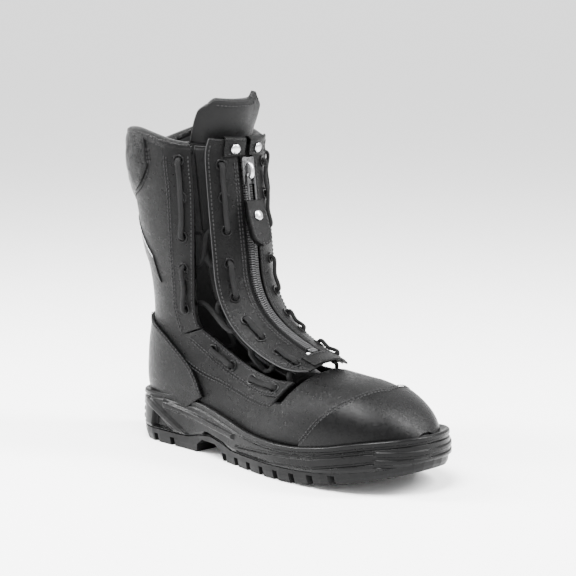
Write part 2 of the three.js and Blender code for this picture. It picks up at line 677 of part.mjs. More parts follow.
const SHANK = [8.3, 11.4];
const shankPiece = (clear, inner) =>
  skinPiece({
    from: SHANK[0] - clear * 0.1,
    to: SHANK[1] + clear * 0.1,
    edges: [(v) => girth(v) - SHANK_WIDTH / 2 - clear, (v) => girth(v) + SHANK_WIDTH / 2 + clear],
    columns: [2],
    inner,
    outer: GAP + SHANK_THICK + clear,
  });

function midsole() {
  const wall = (x) => (midsoleBottom(x) + rimHeight(x)) / 2;
  const full = soleSolid([
    { z: midsoleBottom, inset: 1.5 },
    { z: (x) => midsoleBottom(x) + 3, inset: 0 },
    { z: (x) => wall(x) + 2, inset: 0.8 },
    { z: (x) => rimHeight(x) - 2, inset: 0.6 },
    { z: rimHeight, inset: 1.6 },
  ]);
  const cut = full.subtract(skinPlug(5.6, LAST_SECTION, 5 * GAP, 32)).subtract(shankPiece(GAP, -1));
  return cut.decompose().reduce((most, chip) => (chip.volume() > most.volume() ? chip : most));
}

add("outsole", outsole(), "rubber");
add("midsole", midsole(), "rubber");
add("shank", shankPiece(0, GAP), "metal");

// ---------------------------------------------------------------- inside the upper
const bottomEdges = (edge) => [edge, (v) => 2 * girth(v) - edge(v)];

add(
  "insole_board",
  skinPiece({
    from: 7.3,
    to: 17.4,
    edges: bottomEdges((v) => featherEdge(v) + GAP),
    columns: [4],
    inner: LEATHER_IN,
    outer: 0,
  }),
  "board",
);
add(
  "puncture_layer",
  skinPiece({
    from: 7.4,
    to: 16.8,
    edges: bottomEdges((v) => featherEdge(v) + 2),
    columns: [4],
    inner: FILL_IN,
    outer: FILL_OUT,
  }),
  "textile",
);
add(
  "safety_toe_cap",
  skinPiece({
    from: 13.2,
    to: 16.8,
    edges: [(v) => -featherEdge(v), featherEdge],
    columns: [12],
    inner: FILL_IN - LAP,
    outer: FILL_OUT - LAP,
  }),
  "metal",
);
add(
  "heel_counter",
  skinPiece({
    from: 4.7,
    to: 8.6,
    edges: [
      (v) => heelFront(v) + 12,
      (v) => (v < HEEL_V ? girth(v) * 0.97 : featherEdge(v)),
      (v) => 2 * girth(v) - (v < HEEL_V ? girth(v) * 0.97 : featherEdge(v)),
      (v) => 2 * girth(v) - heelFront(v) - 12,
    ],
    columns: [4, 2, 4],
    inner: FILL_IN - GAP,
    outer: FILL_OUT - GAP,
    keep: (v, band) => band !== 1 || v < HEEL_V,
  }),
  "plastic",
);

// The lining closes over the foot ahead of the throat and is open behind it, where the tongue is.
const liningFront = (v) => facingBack(v) + 4;
add(
  "lining",
  skinPiece({
    from: COLLAR_V,
    to: 16.8,
    edges: [(v) => -liningFront(v), liningFront, (v) => 2 * girth(v) - liningFront(v)],
    columns: [3, 10],
    inner: LINING_IN,
    outer: LINING_OUT,
    closed: true,
    keep: (v, band) => band === 1 || v > THROAT_V,
    top: (v, s) => collarEdge(v, s > girth(v) ? s - 2 * girth(v) : s) + 0.03,
  }),
  "textile",
);
add(
  "footbed",
  skinPiece({
    from: 8,
    to: 16.2,
    edges: bottomEdges((v) => featherEdge(v) + 6),
    columns: [4],
    inner: LINING_IN - SOCK - FOOTBED,
    outer: LINING_IN - SOCK,
  }),
  "textile",
);
bothSides((name, side) =>
  add(
    "shaft_foam_" + name,
    skinPiece({
      from: COLLAR_V,
      to: 4.5,
      edges: [(v) => side * (facingBack(v) + 4), (v) => side * (girth(v) - GAP)],
      columns: [6],
      inner: FILL_IN,
      outer: FILL_OUT,
      top: (v, s) => collarEdge(v, s) + 0.03,
    }),
    "foam",
  ),
);

// ---------------------------------------------------------------- outside of the upper
const WING_CLEAR = 0.8; // between the quarters and the wings, over the facets of both
const wingTop = (v) => quarterLow(v) + WING_CLEAR;
add(
  "vamp",
  skinPiece({
    from: HEEL_V + WING_GAP,
    to: LAST_SECTION,
    edges: [
      (v) => -featherEdge(v),
      (v) => -wingTop(v),
      wingTop,
      featherEdge,
    ],
    columns: [6, 8, 6],
    inner: LEATHER_IN,
    outer: 0,
    keep: (v, band) => band !== 1 || v > THROAT_V,
  }),
  "leather",
);
bothSides((name, side) =>
  add(
    "quarter_" + name,
    skinPiece({
      from: COLLAR_V,
      to: QUARTER_END,
      edges: [
        (v) => side * (facingBack(v) + LAP),
        mirrored(quarterLow, side),
        (v) => side * (girth(v) - GAP / 2),
      ],
      columns: [5, 6],
      inner: LEATHER_IN,
      outer: 0,
      keep: (v, band) => band === 0 || v < HEEL_V,
      top: collarEdge,
    }),
    "leather",
  ),
);

// Where the scuff cap starts, by distance from the front centre line.
const SCUFF_START = through([[0, 15.1], [30, 14.75], [60, 13.9], [80, 13.4]]);
add(
  "toe_scuff_cap",
  skinPiece({
    from: 13.9,
    to: 17.7,
    edges: [(v) => -soleEdge(v), soleEdge],
    columns: [18],
    inner: GLUE,
    outer: GLUE + SCUFF,
    top: (v, s) => SCUFF_START(Math.abs(s)),
  }),
  "scuff",
);
const SEAT = 2; // the heel cover is formed over the heel's seams
add(
  "heel_cover",
  skinPiece({
    from: HEEL_COVER[0],
    to: HEEL_COVER[1],
    edges: [
      heelFront,
      (v) => Math.max(heelFront(v) + 1, soleEdge(v)),
      (v) => 2 * girth(v) - Math.max(heelFront(v) + 1, soleEdge(v)),
      (v) => 2 * girth(v) - heelFront(v),
    ],
    columns: [6, 5, 6],
    inner: SEAT,
    outer: SEAT + OVERLAY,
    keep: (v, band) => band !== 1 || v < HEEL_V,
  }),
  "leather",
);

// The rear pad runs from the collar down to a curved edge, lowest at the back centre line.
const PAD_HALF = 82;
const PAD_CROWN = 2.4;
const padBottom = through([[0, 2.4], [20, 2.3], [40, 2.05], [66, 1.75], [78, 1.4], [PAD_HALF, 1.2]]);
function padPoint(p, back, depth) {
  const top = collarEdge(COLLAR_V, girth(COLLAR_V) - Math.abs(back)) + 0.02;
  const v = top + (padBottom(Math.abs(back)) - top) * p;
  return skin(v, girth(v) - back, depth);
}
add(
  "collar_pad",
  piece(padPoint, {
    from: 0,
    to: 1,
    rows: 5,
    edges: [() => -PAD_HALF, () => PAD_HALF],
    columns: [18],
    inner: GLUE,
    outer: (p, q) => OVER_OUT + PAD_CROWN * (Math.sin(Math.PI * p) * Math.sin(Math.PI * q)) ** 0.6,
  }),
  "foam",
);
const BACK_STAY = [2.5, 4.9];
const STAY_WIDTH = 20;
add(
  "back_stay",
  skinPiece({
    from: BACK_STAY[0],
    to: BACK_STAY[1],
    edges: [(v) => girth(v) - STAY_WIDTH / 2, (v) => girth(v) + STAY_WIDTH / 2],
    columns: [2],
    inner: OVER_IN,
    outer: OVER_OUT,
  }),
  "leather",
);

const FACINGS = { upper: [UPPER_FACING, UPPER_ROW], lower: [LOWER_FACING, LOWER_ROW] };
const STAY_EDGE = 2; // strip behind the eyelets, in from the facing's edge
const STAY_END = 0.15; // and in from its ends, in sections
for (const [part, [span, row]] of Object.entries(FACINGS))
  bothSides((name, side) => {
    const frames = facingFrames(row, side);
    const facing = skinPiece({
      from: span[0],
      to: span[1],
      edges: [mirrored(opening, side), mirrored(facingBack, side)],
      columns: [3],
      inner: LEATHER_IN,
      outer: OVER_OUT,
      top: part === "upper" && collarEdge,
    });
    const stay = skinPiece({
      from: span[0] + STAY_END,
      to: span[1] - STAY_END,
      edges: [STAY_EDGE, 2 * EYELET_IN - STAY_EDGE].map((s) => (v) => side * (opening(v) + s)),
      columns: [1],
      inner: STAY_IN,
      outer: STAY_OUT,
    });
    add(`facing_${part}_${name}`, facing.subtract(eyeletHoles(frames)), "leather");
    add(`eyelets_${part}_${name}`, eyeletRow(frames, stay, STAY_IN, OVER_OUT + GAP), "plastic");
  });

const BADGE = [2.5, 3.2];
const BADGE_BACK = 40; // from the back centre line
const BADGE_WIDTH = 28;
const BADGE_SLANT = 0.035; // how fast it drops towards the front
const BADGE_THICK = 0.8;
bothSides((name, side) => {
  const slanted = (v, s, depth) => skin(v + BADGE_SLANT * (girth(v) - BADGE_BACK - Math.abs(s)), s, depth);
  const patch = piece(slanted, {
    from: BADGE[0],
    to: BADGE[1],
    rows: 4,
    edges: [
      (v) => side * (girth(v) - BADGE_BACK - BADGE_WIDTH),
      (v) => side * (girth(v) - BADGE_BACK),
    ],
    columns: [4],
    inner: OVER_IN,
    outer: OVER_IN + BADGE_THICK,
  });
  add("side_badge_" + name, patch, "reflective");
});

// ---------------------------------------------------------------- tongue
const TONGUE_FOLD = 9; // where the stiff top meets the lower part, down from the panel's top
const TONGUE_TOP = -30;
const TONGUE_END = PANEL_LENGTH - 16;
const TONGUE_SET = 2.4 + 3.5 * LACE; // behind the panel, clear of two laces that cross
const tongueFace = through([[TONGUE_FOLD, -10.5], [50, -TONGUE_SET], [TONGUE_END, -TONGUE_SET]]);
const tongueEdge = through([
  [TONGUE_TOP, 34], [TONGUE_TOP + 8, 42], [TONGUE_FOLD, 45], [90, 44], [120, 38], [TONGUE_END, 26],
]);
const tonguePiece = (from, to, rows, top) =>
  sheetPiece({
    from,
    to,
    rows,
    edges: [(t) => -tongueEdge(t), tongueEdge],
    columns: [8],
    inner: (p, q, t) => tongueFace(t) - TONGUE,
    outer: (p, q, t) => tongueFace(t),
    top,
  });
const TONGUE_CLEAR = 1.2;
add("tongue", tonguePiece(TONGUE_FOLD, TONGUE_END, 13), "leather");
// The stiff top's upper edge: one corner rounded away, and a small horn near the other.
const tongueCrest = (t, s) => {
  const corner = 7 * Math.max(0, (-s - 22) / 12) ** 2;
  const horn = 4.5 * Math.exp(-(((s - 29) / 3.5) ** 2));
  return TONGUE_TOP + Math.min(corner, 7) - horn;
};
add("tongue_top", tonguePiece(TONGUE_TOP, TONGUE_FOLD - TONGUE_CLEAR, 6, tongueCrest), "leather");

// ---------------------------------------------------------------- zip panel
const PANEL_STAY_OUT = -GAP;
const PANEL_STAY_IN = PANEL_STAY_OUT - STAY;
const PANEL_STRIP = 6.5; // half width of the strip behind its eyelets
const PANEL_TOP = 0;
bothSides((name, side) => {
  const frames = panelFrames(side);
  const leather = sheetPiece({
    from: PANEL_TOP,
    to: PANEL_LENGTH - 1,
    edges: [() => side * ZIP_SLOT, mirrored(panelEdge, side)],
    columns: [4],
    inner: 0,
    outer: PANEL,
  });
  const strip = sheetPiece({
    from: panelRow[0] - 5,
    to: panelRow[EYELETS - 1] + 6,
    edges: [() => side * (PANEL_COLUMN - PANEL_STRIP), () => side * (PANEL_COLUMN + PANEL_STRIP)],
    columns: [1],
    inner: PANEL_STAY_IN,
    outer: PANEL_STAY_OUT,
  });
  add("zip_panel_" + name, leather.subtract(eyeletHoles(frames)), "leather");
  add("eyelets_panel_" + name, eyeletRow(frames, strip, PANEL_STAY_IN, PANEL + GAP), "plastic");
});

// ---------------------------------------------------------------- zip
const TAB_HEM = 13.5; // how far the folded tabs reach down from the panel's top
const CHAIN_TOP = TAB_HEM + 1;
const CHAIN_END = PANEL_LENGTH - 24;
const TOOTH_GROUPS = 23;
const CHAIN_WAVE = 1; // how much narrower the chain is between its groups of teeth
const TAPE_OUT = -GAP;
const TAPE_IN = TAPE_OUT - TAPE_THICK;
const CHAIN_IN = 0;
bothSides((name, side) => {
  const inside = CHAIN_SPLIT / 2;
  add(
    "zip_tape_" + name,
    sheetPiece({
      from: TAB_HEM - 9,
      to: CHAIN_END,
      edges: [() => side * inside, () => side * (inside + TAPE_WIDTH)],
      columns: [1],
      inner: TAPE_IN,
      outer: TAPE_OUT,
    }),
    "textile",
  );
  const phase = (t) => (2 * Math.PI * (t - CHAIN_TOP) * TOOTH_GROUPS) / (CHAIN_END - CHAIN_TOP);
  const width = (t) => CHAIN_WIDTH - (CHAIN_WAVE / 2) * (1 + Math.cos(phase(t)));
  add(
    "zip_teeth_" + name,
    sheetPiece({
      from: CHAIN_TOP,
      to: CHAIN_END,
      rows: 2 * TOOTH_GROUPS,
      edges: [() => side * inside, (t) => side * (inside + width(t))],
      columns: [1],
      inner: CHAIN_IN,
      outer: CHAIN_THICK,
    }),
    "plastic",
  );
});
const STOP_LENGTH = 5;
const PATCH_HALF = 16;
const stopPlace = sheetFrame(CHAIN_END + GAP + STOP_LENGTH / 2, 0, CHAIN_THICK / 2);
add("zip_bottom_stop", block(STOP_LENGTH, 2 * CHAIN_WIDTH + CHAIN_SPLIT, CHAIN_THICK, stopPlace), "metal");
add(
  "zip_end_patch",
  sheetPiece({
    from: CHAIN_END + STOP_LENGTH + 2,
    to: PANEL_LENGTH + 1,
    rows: 3,
    edges: [() => -PATCH_HALF, () => PATCH_HALF],
    columns: [6],
    inner: PANEL + GAP,
    outer: PANEL + GAP + OVERLAY,
  }),
  "leather",
);

const SLIDER_TOP = CHAIN_TOP + 0.5;
const STRAIGHT_MIDDLE = 60; // well inside the chain's straight stretch
const slider = shifted(sheetFrame(STRAIGHT_MIDDLE), SLIDER_TOP - STRAIGHT_MIDDLE, 0, 0);
const halfSlider = SLIDER_WIDTH / 2;
const PLATE_DROP = PANEL_ROUND * (1 - Math.cos(halfSlider / PANEL_ROUND)); // of the tape at the plate's edge
const SLIDER_BACK = TAPE_IN - LAP - PLATE_DROP;
const SLIDER_FRONT = CHAIN_THICK + GAP;
const BRIDGE_WIDTH = 3;
const BRIDGE_WALL = 2.2;
const BRIDGE_SPAN = [4, 18];
const BAR = 1; // radius of the puller's bars
const BAR_CLEAR = 0.4;
const PLATE_TOP = SLIDER_FRONT + SLIDER_PLATE;
const BRIDGE_INSIDE = PLATE_TOP + 2 * (BAR + BAR_CLEAR) + 0.4;
const span = (from, to, y0, y1, z0, z1) =>
  block(to - from, y1 - y0, z1 - z0, shifted(slider, (from + to) / 2, (y0 + y1) / 2, (z0 + z1) / 2));
const halfBridge = BRIDGE_WIDTH / 2;
const neck = CHAIN_SPLIT / 2 - GAP;
const JOIN = 0.2; // how far joined blocks reach into each other
const NECK_SPAN = [1, 9];
const bridgePost = (from) =>
  span(from, from + BRIDGE_WALL, -halfBridge, halfBridge, PLATE_TOP - JOIN, BRIDGE_INSIDE + JOIN);
const sliderBlocks = [
  span(0, SLIDER_LENGTH, -halfSlider, halfSlider, SLIDER_BACK - SLIDER_PLATE, SLIDER_BACK),
  span(...NECK_SPAN, -neck, neck, SLIDER_BACK - JOIN, SLIDER_FRONT + JOIN),
  span(0, SLIDER_LENGTH, -halfSlider, halfSlider, SLIDER_FRONT, PLATE_TOP),
  bridgePost(BRIDGE_SPAN[0]),
  bridgePost(BRIDGE_SPAN[1] - BRIDGE_WALL),
  span(BRIDGE_SPAN[0], BRIDGE_SPAN[1], -halfBridge, halfBridge, BRIDGE_INSIDE, BRIDGE_INSIDE + BRIDGE_WALL),
];
add("zip_slider", joined(sliderBlocks), "metal");

// The puller is a frame hung on its top bar; the leather tab hangs on its bottom bar.
const PULLER_DEPTH = PLATE_TOP + BAR_CLEAR + BAR;
const PULLER_HANG = BRIDGE_SPAN[1] - BRIDGE_WALL - BAR - BAR_CLEAR;
const puller = shifted(slider, PULLER_HANG, 0, PULLER_DEPTH);
const bar = (matrix, radius, length) => {
  const geometry = new THREE.CylinderGeometry(radius, radius, length, 12);
  return solid(geometry.applyMatrix4(matrix));
};
const halfPuller = PULLER_WIDTH / 2;
const rail = (side) => {
  const middle = shifted(puller, PULLER_LENGTH / 2, side * (halfPuller - PULLER_THICK / 2), 0);
  return block(PULLER_LENGTH, PULLER_THICK, PULLER_THICK, middle);
};
const pullerBars = [0, PULLER_LENGTH].map((down) => bar(shifted(puller, down, 0, 0), BAR, PULLER_WIDTH));
add("zip_puller", joined([...pullerBars, rail(-1), rail(1)]), "metal");

const TAB_TILT = 0.21; // the stiff tab stands off the panel at its lower end
const tab = shifted(puller, PULLER_LENGTH, 0, 0).multiply(new THREE.Matrix4().makeRotationY(-TAB_TILT));
const TAB_NARROW = 1.5; // at each side of its top
const RIVET_AT = 11;
const RIVET_DOME = 1.6;
const RIVET_SHANK = 1.5;
// The tab is leather folded round the puller's lower bar, so its top is round about that bar.
function pullTab() {
  const half = TAB_THICK / 2;
  const wide = TAB_WIDTH / 2;
  const face = new THREE.Shape();
  face.moveTo(-half, TAB_NARROW - wide);
  face.lineTo(TAB_LENGTH - wide, -wide);
  face.absarc(TAB_LENGTH - wide, 0, wide, -Math.PI / 2, Math.PI / 2, false);
  face.lineTo(-half, wide - TAB_NARROW);
  const flat = { bevelEnabled: false, curveSegments: 5 };
  const outline = new THREE.ExtrudeGeometry(face, { ...flat, depth: TAB_THICK });
  const side = new THREE.Shape();
  side.absarc(0, 0, half, Math.PI / 2, (3 * Math.PI) / 2, false);
  side.lineTo(TAB_LENGTH, -half);
  side.lineTo(TAB_LENGTH, half);
  const folded = new THREE.ExtrudeGeometry(side, { ...flat, depth: TAB_WIDTH });
  const leather = solid(outline.translate(0, 0, -half).applyMatrix4(tab)).intersect(
    solid(folded.rotateX(Math.PI / 2).translate(0, wide, 0).applyMatrix4(tab)),
  );
  const clear = PULLER_THICK / 2 + GAP;
  const slot = (at) => {
    const middle = shifted(tab, -half, at * (halfPuller - clear + GAP), 0);
    return block(TAB_THICK + 2 * clear, 2 * clear, 2 * TAB_THICK, middle);
  };
  return leather
    .subtract(bar(tab, BAR + GAP, PULLER_WIDTH + 2 * GAP))
    .subtract(slot(-1))
    .subtract(slot(1))
    .subtract(pin(shifted(tab, RIVET_AT, 0, 0), RIVET_SHANK + GAP, -TAB_THICK, TAB_THICK));
}

// A rivet's low dome on its shank, standing on a face at height face.
function rivet(matrix, face, shankEnd) {
  const profile = [new THREE.Vector2(0, shankEnd), new THREE.Vector2(RIVET_SHANK, shankEnd)];
  profile.push(new THREE.Vector2(RIVET_SHANK, face + GAP), new THREE.Vector2(RIVET_RADIUS, face + GAP));
  const steps = 4;
  for (let k = 1; k <= steps; k++) {
    const turn = (Math.PI * k) / (2 * steps);
    const height = face + GAP + 0.5 + RIVET_DOME * Math.sin(turn);
    profile.push(new THREE.Vector2(k === steps ? 0 : RIVET_RADIUS * Math.cos(turn), height));
  }
  return solid(new THREE.LatheGeometry(profile, 10).rotateX(Math.PI / 2).applyMatrix4(matrix));
}
add("pull_tab", pullTab(), "leather");
add("pull_tab_rivet", rivet(shifted(tab, RIVET_AT, 0, 0), TAB_THICK / 2, -TAB_THICK / 2), "metal");

// ---------------------------------------------------------------- tabs folded over the panel's top
const TOP_TAB = [2.4, 20.5];
const TOP_TAB_THICK = 1.8;
const RIVET_SEAT = 0.5; // a flat rivet over the bent leather
const TAB_FOLD = 2.6;
const TAB_INSIDE = [TAPE_IN - GLUE, PANEL + GLUE];
const TAB_OUTSIDE = [TAB_INSIDE[0] - TOP_TAB_THICK, TAB_INSIDE[1] + TOP_TAB_THICK];
bothSides((name, side) => {
  const strip = (from, to, [inner, outer], start, end) => {
    const edges = [() => side * start, () => side * end];
    return sheetPiece({ from, to, rows: 2, edges, columns: [3], inner, outer });
  };
  const [near, far] = TOP_TAB;
  const outside = strip(PANEL_TOP - TAB_FOLD, TAB_HEM, TAB_OUTSIDE, near, far);
  const inside = strip(PANEL_TOP - GAP, TAB_HEM + 2, TAB_INSIDE, near - 1, far + 1);
  const frame = sheetFrame(TAB_HEM / 2, side * (near + far) / 2);
  const face = TAB_INSIDE[1] + TOP_TAB_THICK;
  const hole = pin(frame, RIVET_SHANK + GAP, TAB_INSIDE[1] - 1, face + 2);
  add("top_tab_" + name, outside.subtract(inside).subtract(hole), "leather");
  add("top_tab_rivet_" + name, rivet(frame, face + RIVET_SEAT, TAB_INSIDE[1] + GAP), "metal");
});

// ---------------------------------------------------------------- laces
const LACE_OVER = FLANGE_THICK + GAP + LACE / 2;
const LACE_SLIP = 0.5; // past the leather's edge, where a lace that crosses starts to rise
const LACE_PASS = LACE + 0.8; // between two laces that cross
const RUN_BOW = 1.2;

// Where a lace is at eyelet k of a column: over its flange and behind its strip.
function laceEnds(column, k, side) {
  if (column === "panel")
    return {
      slip: sheet(panelRow[k], side * (panelEdge(panelRow[k]) + LACE_SLIP), PANEL_STAY_IN - LACE_OVER),
      over: sheet(panelRow[k], side * PANEL_COLUMN, PANEL + GAP + LACE_OVER),
      under: sheet(panelRow[k], side * PANEL_COLUMN, PANEL_STAY_IN - GAP - LACE / 2),
      out: sheet(panelRow[k], side * PANEL_COLUMN, 1).sub(sheet(panelRow[k], side * PANEL_COLUMN)),
    };
  const v = [...UPPER_ROW, ...LOWER_ROW][k];
  const s = side * (opening(v) + EYELET_IN);
  return {
    slip: skin(v, side * (opening(v) - LACE_SLIP), STAY_IN - LACE_OVER),
    over: skin(v, s, OVER_OUT + GAP + LACE_OVER),
    under: skin(v, s, STAY_IN - GAP - LACE / 2),
    out: skin(v, s, 1).sub(skin(v, s)),
  };
}

// One end of a lace from the lowest eyelets up: out at an eyelet, over to the next one up, in, and across.
function laceEnd(first, side) {
  const other = { panel: "facing", facing: "panel" };
  const points = [laceEnds(first, EYELETS - 1, side).slip];
  let column = first;
  for (let k = EYELETS - 1; k > 0; k -= 2) {
    const [from, to] = [laceEnds(column, k, side), laceEnds(column, k - 1, side)];
    const middle = from.over.clone().add(to.over).divideScalar(2).addScaledVector(from.out, RUN_BOW);
    points.push(from.under, from.over, middle, to.over);
    if (k > 2) {
      points.push(to.under);
      const next = laceEnds(other[column], k - 2, side);
      const dip = first === "panel" ? LACE_PASS : 0;
      for (const end of [to, next]) points.push(end.slip.clone().addScaledVector(end.out, -dip));
    } else {
      const top = laceEnds(column, 0, side);
      points.push(to.over.clone().add(top.over).divideScalar(2).addScaledVector(top.out, RUN_BOW));
      points.push(top.over, top.under);
    }
    column = other[column];
  }
  return points;
}

bothSides((name, side) => {
  const points = [...laceEnd("panel", side).reverse(), ...laceEnd("facing", side)];
  add("lace_" + name, cord(points, LACE / 2), "textile");
});

// ---------------------------------------------------------------- reflective tab on the back
const REAR_TAB = [3.15, 3.9];
const REAR_TAB_REACH = 9;
const REAR_TAB_THICK = 2;
function rearTab() {
  const stand = OVER_OUT + GLUE + REAR_TAB_THICK / 2;
  const ends = REAR_TAB.map((v) => skin(v, girth(v), stand));
  const up = ends[0].clone().sub(ends[1]).normalize();
  const out = new THREE.Vector3(0, 1, 0).cross(up).negate();
  const basis = new THREE.Matrix4().makeBasis(out, new THREE.Vector3(0, 1, 0).negate(), up);
  const shape = new THREE.Shape();
  const half = REAR_TAB_THICK / 2;
  shape.absarc(0, 0, half, Math.PI / 2, (3 * Math.PI) / 2, false);
  shape.absarc(REAR_TAB_REACH - half, 0, half, -Math.PI / 2, Math.PI / 2, false);
  const options = { depth: ends[0].distanceTo(ends[1]), bevelEnabled: false, curveSegments: 4 };
  const geometry = new THREE.ExtrudeGeometry(shape, options);
  return solid(geometry.applyMatrix4(basis.setPosition(ends[1])));
}
add("rear_tab", rearTab(), "reflective");

// ---------------------------------------------------------------- placing
// The origin is under the middle of the whole boot, on the ground.
const box = new THREE.Box3().setFromObject(boot);
boot.position.set(-(box.min.x + box.max.x) / 2, -(box.min.y + box.max.y) / 2, -box.min.z);

export default boot;
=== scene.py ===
"""A front-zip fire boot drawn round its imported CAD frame.

Shapes are worked out in millimetres in the boot's own drawing space, where x runs from the heel to the toe,
y to the inner side and z up. They are moved into the row frame, in metres, when a mesh is made.
"""

import math

import bpy
import numpy as np
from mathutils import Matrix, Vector
from mathutils.kdtree import KDTree


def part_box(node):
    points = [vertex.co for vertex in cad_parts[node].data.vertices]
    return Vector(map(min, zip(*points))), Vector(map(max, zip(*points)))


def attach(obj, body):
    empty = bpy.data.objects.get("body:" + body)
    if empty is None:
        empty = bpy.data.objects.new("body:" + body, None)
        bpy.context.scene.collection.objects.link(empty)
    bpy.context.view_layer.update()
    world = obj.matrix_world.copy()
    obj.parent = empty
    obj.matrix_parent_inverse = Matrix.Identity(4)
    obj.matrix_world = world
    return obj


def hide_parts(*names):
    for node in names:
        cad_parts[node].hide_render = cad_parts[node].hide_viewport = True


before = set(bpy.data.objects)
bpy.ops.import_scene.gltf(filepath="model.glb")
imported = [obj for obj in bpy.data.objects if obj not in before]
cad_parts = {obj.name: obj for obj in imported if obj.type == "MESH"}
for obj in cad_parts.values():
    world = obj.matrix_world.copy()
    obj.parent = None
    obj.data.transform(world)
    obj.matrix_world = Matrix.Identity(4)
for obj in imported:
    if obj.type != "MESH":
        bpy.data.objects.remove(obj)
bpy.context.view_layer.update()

# ---------------------------------------------------------------- camera
AZIMUTH, ELEVATION = 45.0, 9.5
DISTANCE = 1.5
LENS = 117
AIM = Vector((0.004, 0.0, 0.1405))


def direction(azimuth, elevation):
    a, e = math.radians(azimuth), math.radians(elevation)
    return Vector((math.sin(a) * math.cos(e), -math.cos(a) * math.cos(e), math.sin(e)))


def look_from(obj, away, target):
    obj.location = target + away
    obj.rotation_mode = "QUATERNION"
    obj.rotation_quaternion = (-away).to_track_quat("-Z", "Y")


def make_camera():
    camera = bpy.data.objects.new("camera", bpy.data.cameras.new("camera"))
    camera.data.lens = LENS
    bpy.context.scene.collection.objects.link(camera)
    look_from(camera, direction(AZIMUTH, ELEVATION) * DISTANCE, AIM)
    bpy.context.scene.camera = camera


make_camera()

# ---------------------------------------------------------------- the drawing space
MM = 0.001
ORIGIN = np.array([
    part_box("midsole")[0].x / MM,
    (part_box("tongue")[0].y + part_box("tongue")[1].y) / 2 / MM,
    0.0,
])
SOLE_LENGTH = (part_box("midsole")[1].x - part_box("midsole")[0].x) / MM


def row_frame(points):
    """Points of the drawing space, in metres in the row frame."""
    return (np.asarray(points) + ORIGIN) * MM


# The thicknesses and clearances that part.mjs gives its layers.
LEATHER = 2.0
OVERLAY = 1.3
LAP = 0.5
GLUE = 0.8
GAP = 0.3
SCUFF = 1.6
SEAT = 2.0
PANEL = 1.8
TONGUE = 4.5
LINING_OUT = -7.2
LINING_IN = -8.7
OVER_OUT = LAP + OVERLAY
STAY = 1.2
STAY_IN = -LEATHER - GLUE - STAY

# ---------------------------------------------------------------- the last
# back x, back z, front x, front z, half width, centre, widest share, squareness at the back and at the front
SECTIONS = np.array([
    [-5, 272, 103, 276, 53, 0, 0.5, 2.4, 2.5],
    [-1, 240, 97, 246, 53, 0, 0.5, 2.4, 2.5],
    [3, 208, 101, 216, 51, 0, 0.5, 2.4, 2.5],
    [8.5, 172, 106, 184, 48, 0, 0.49, 2.3, 2.4],
    [14, 136, 112, 156, 43, 0, 0.47, 2.2, 2.3],
    [14, 104, 121, 136, 39, 0, 0.43, 2.2, 2.2],
    [8, 74, 132, 119, 36, 0, 0.38, 2.3, 2.1],
    [9, 44, 144, 107, 35.5, 0, 0.34, 2.5, 2.1],
    [22, 28, 155, 99, 35.5, 0, 0.36, 2.8, 2.1],
    [48, 24, 165, 93, 36, 0, 0.36, 3.2, 2.1],
    [88, 22, 176, 88, 38, 0, 0.34, 3.6, 2.1],
    [130, 18, 188, 84, 43, 0, 0.33, 3.8, 2.1],
    [168, 16, 202, 81, 49, 0, 0.33, 3.8, 2.2],
    [202, 16, 219, 79, 51, 0, 0.34, 3.6, 2.3],
    [232, 17, 238, 77, 49.5, 1, 0.36, 3.4, 2.4],
    [257, 19, 257, 72, 44.5, 3, 0.38, 3.2, 2.4],
    [276, 22, 274, 63, 36, 5, 0.4, 3, 2.4],
    [289, 26, 286, 53, 24, 7, 0.42, 2.8, 2.4],
    [296, 33, 294, 43, 9, 8, 0.45, 2.4, 2.4],
])
LAST_SECTION = len(SECTIONS) - 1
PER_SECTION = 40
RING = 400


def catmull(a, b, c, d, t):
    return b + 0.5 * t * (c - a + t * (2 * a - 5 * b + 4 * c - d + t * (3 * (b - c) + d - a)))


def section_values(v):
    i = np.clip(np.floor(v).astype(int), 0, LAST_SECTION - 1)
    near = [SECTIONS[np.clip(i + k, 0, LAST_SECTION)] for k in (-1, 0, 1, 2)]
    return catmull(*near, (v - i)[:, None])


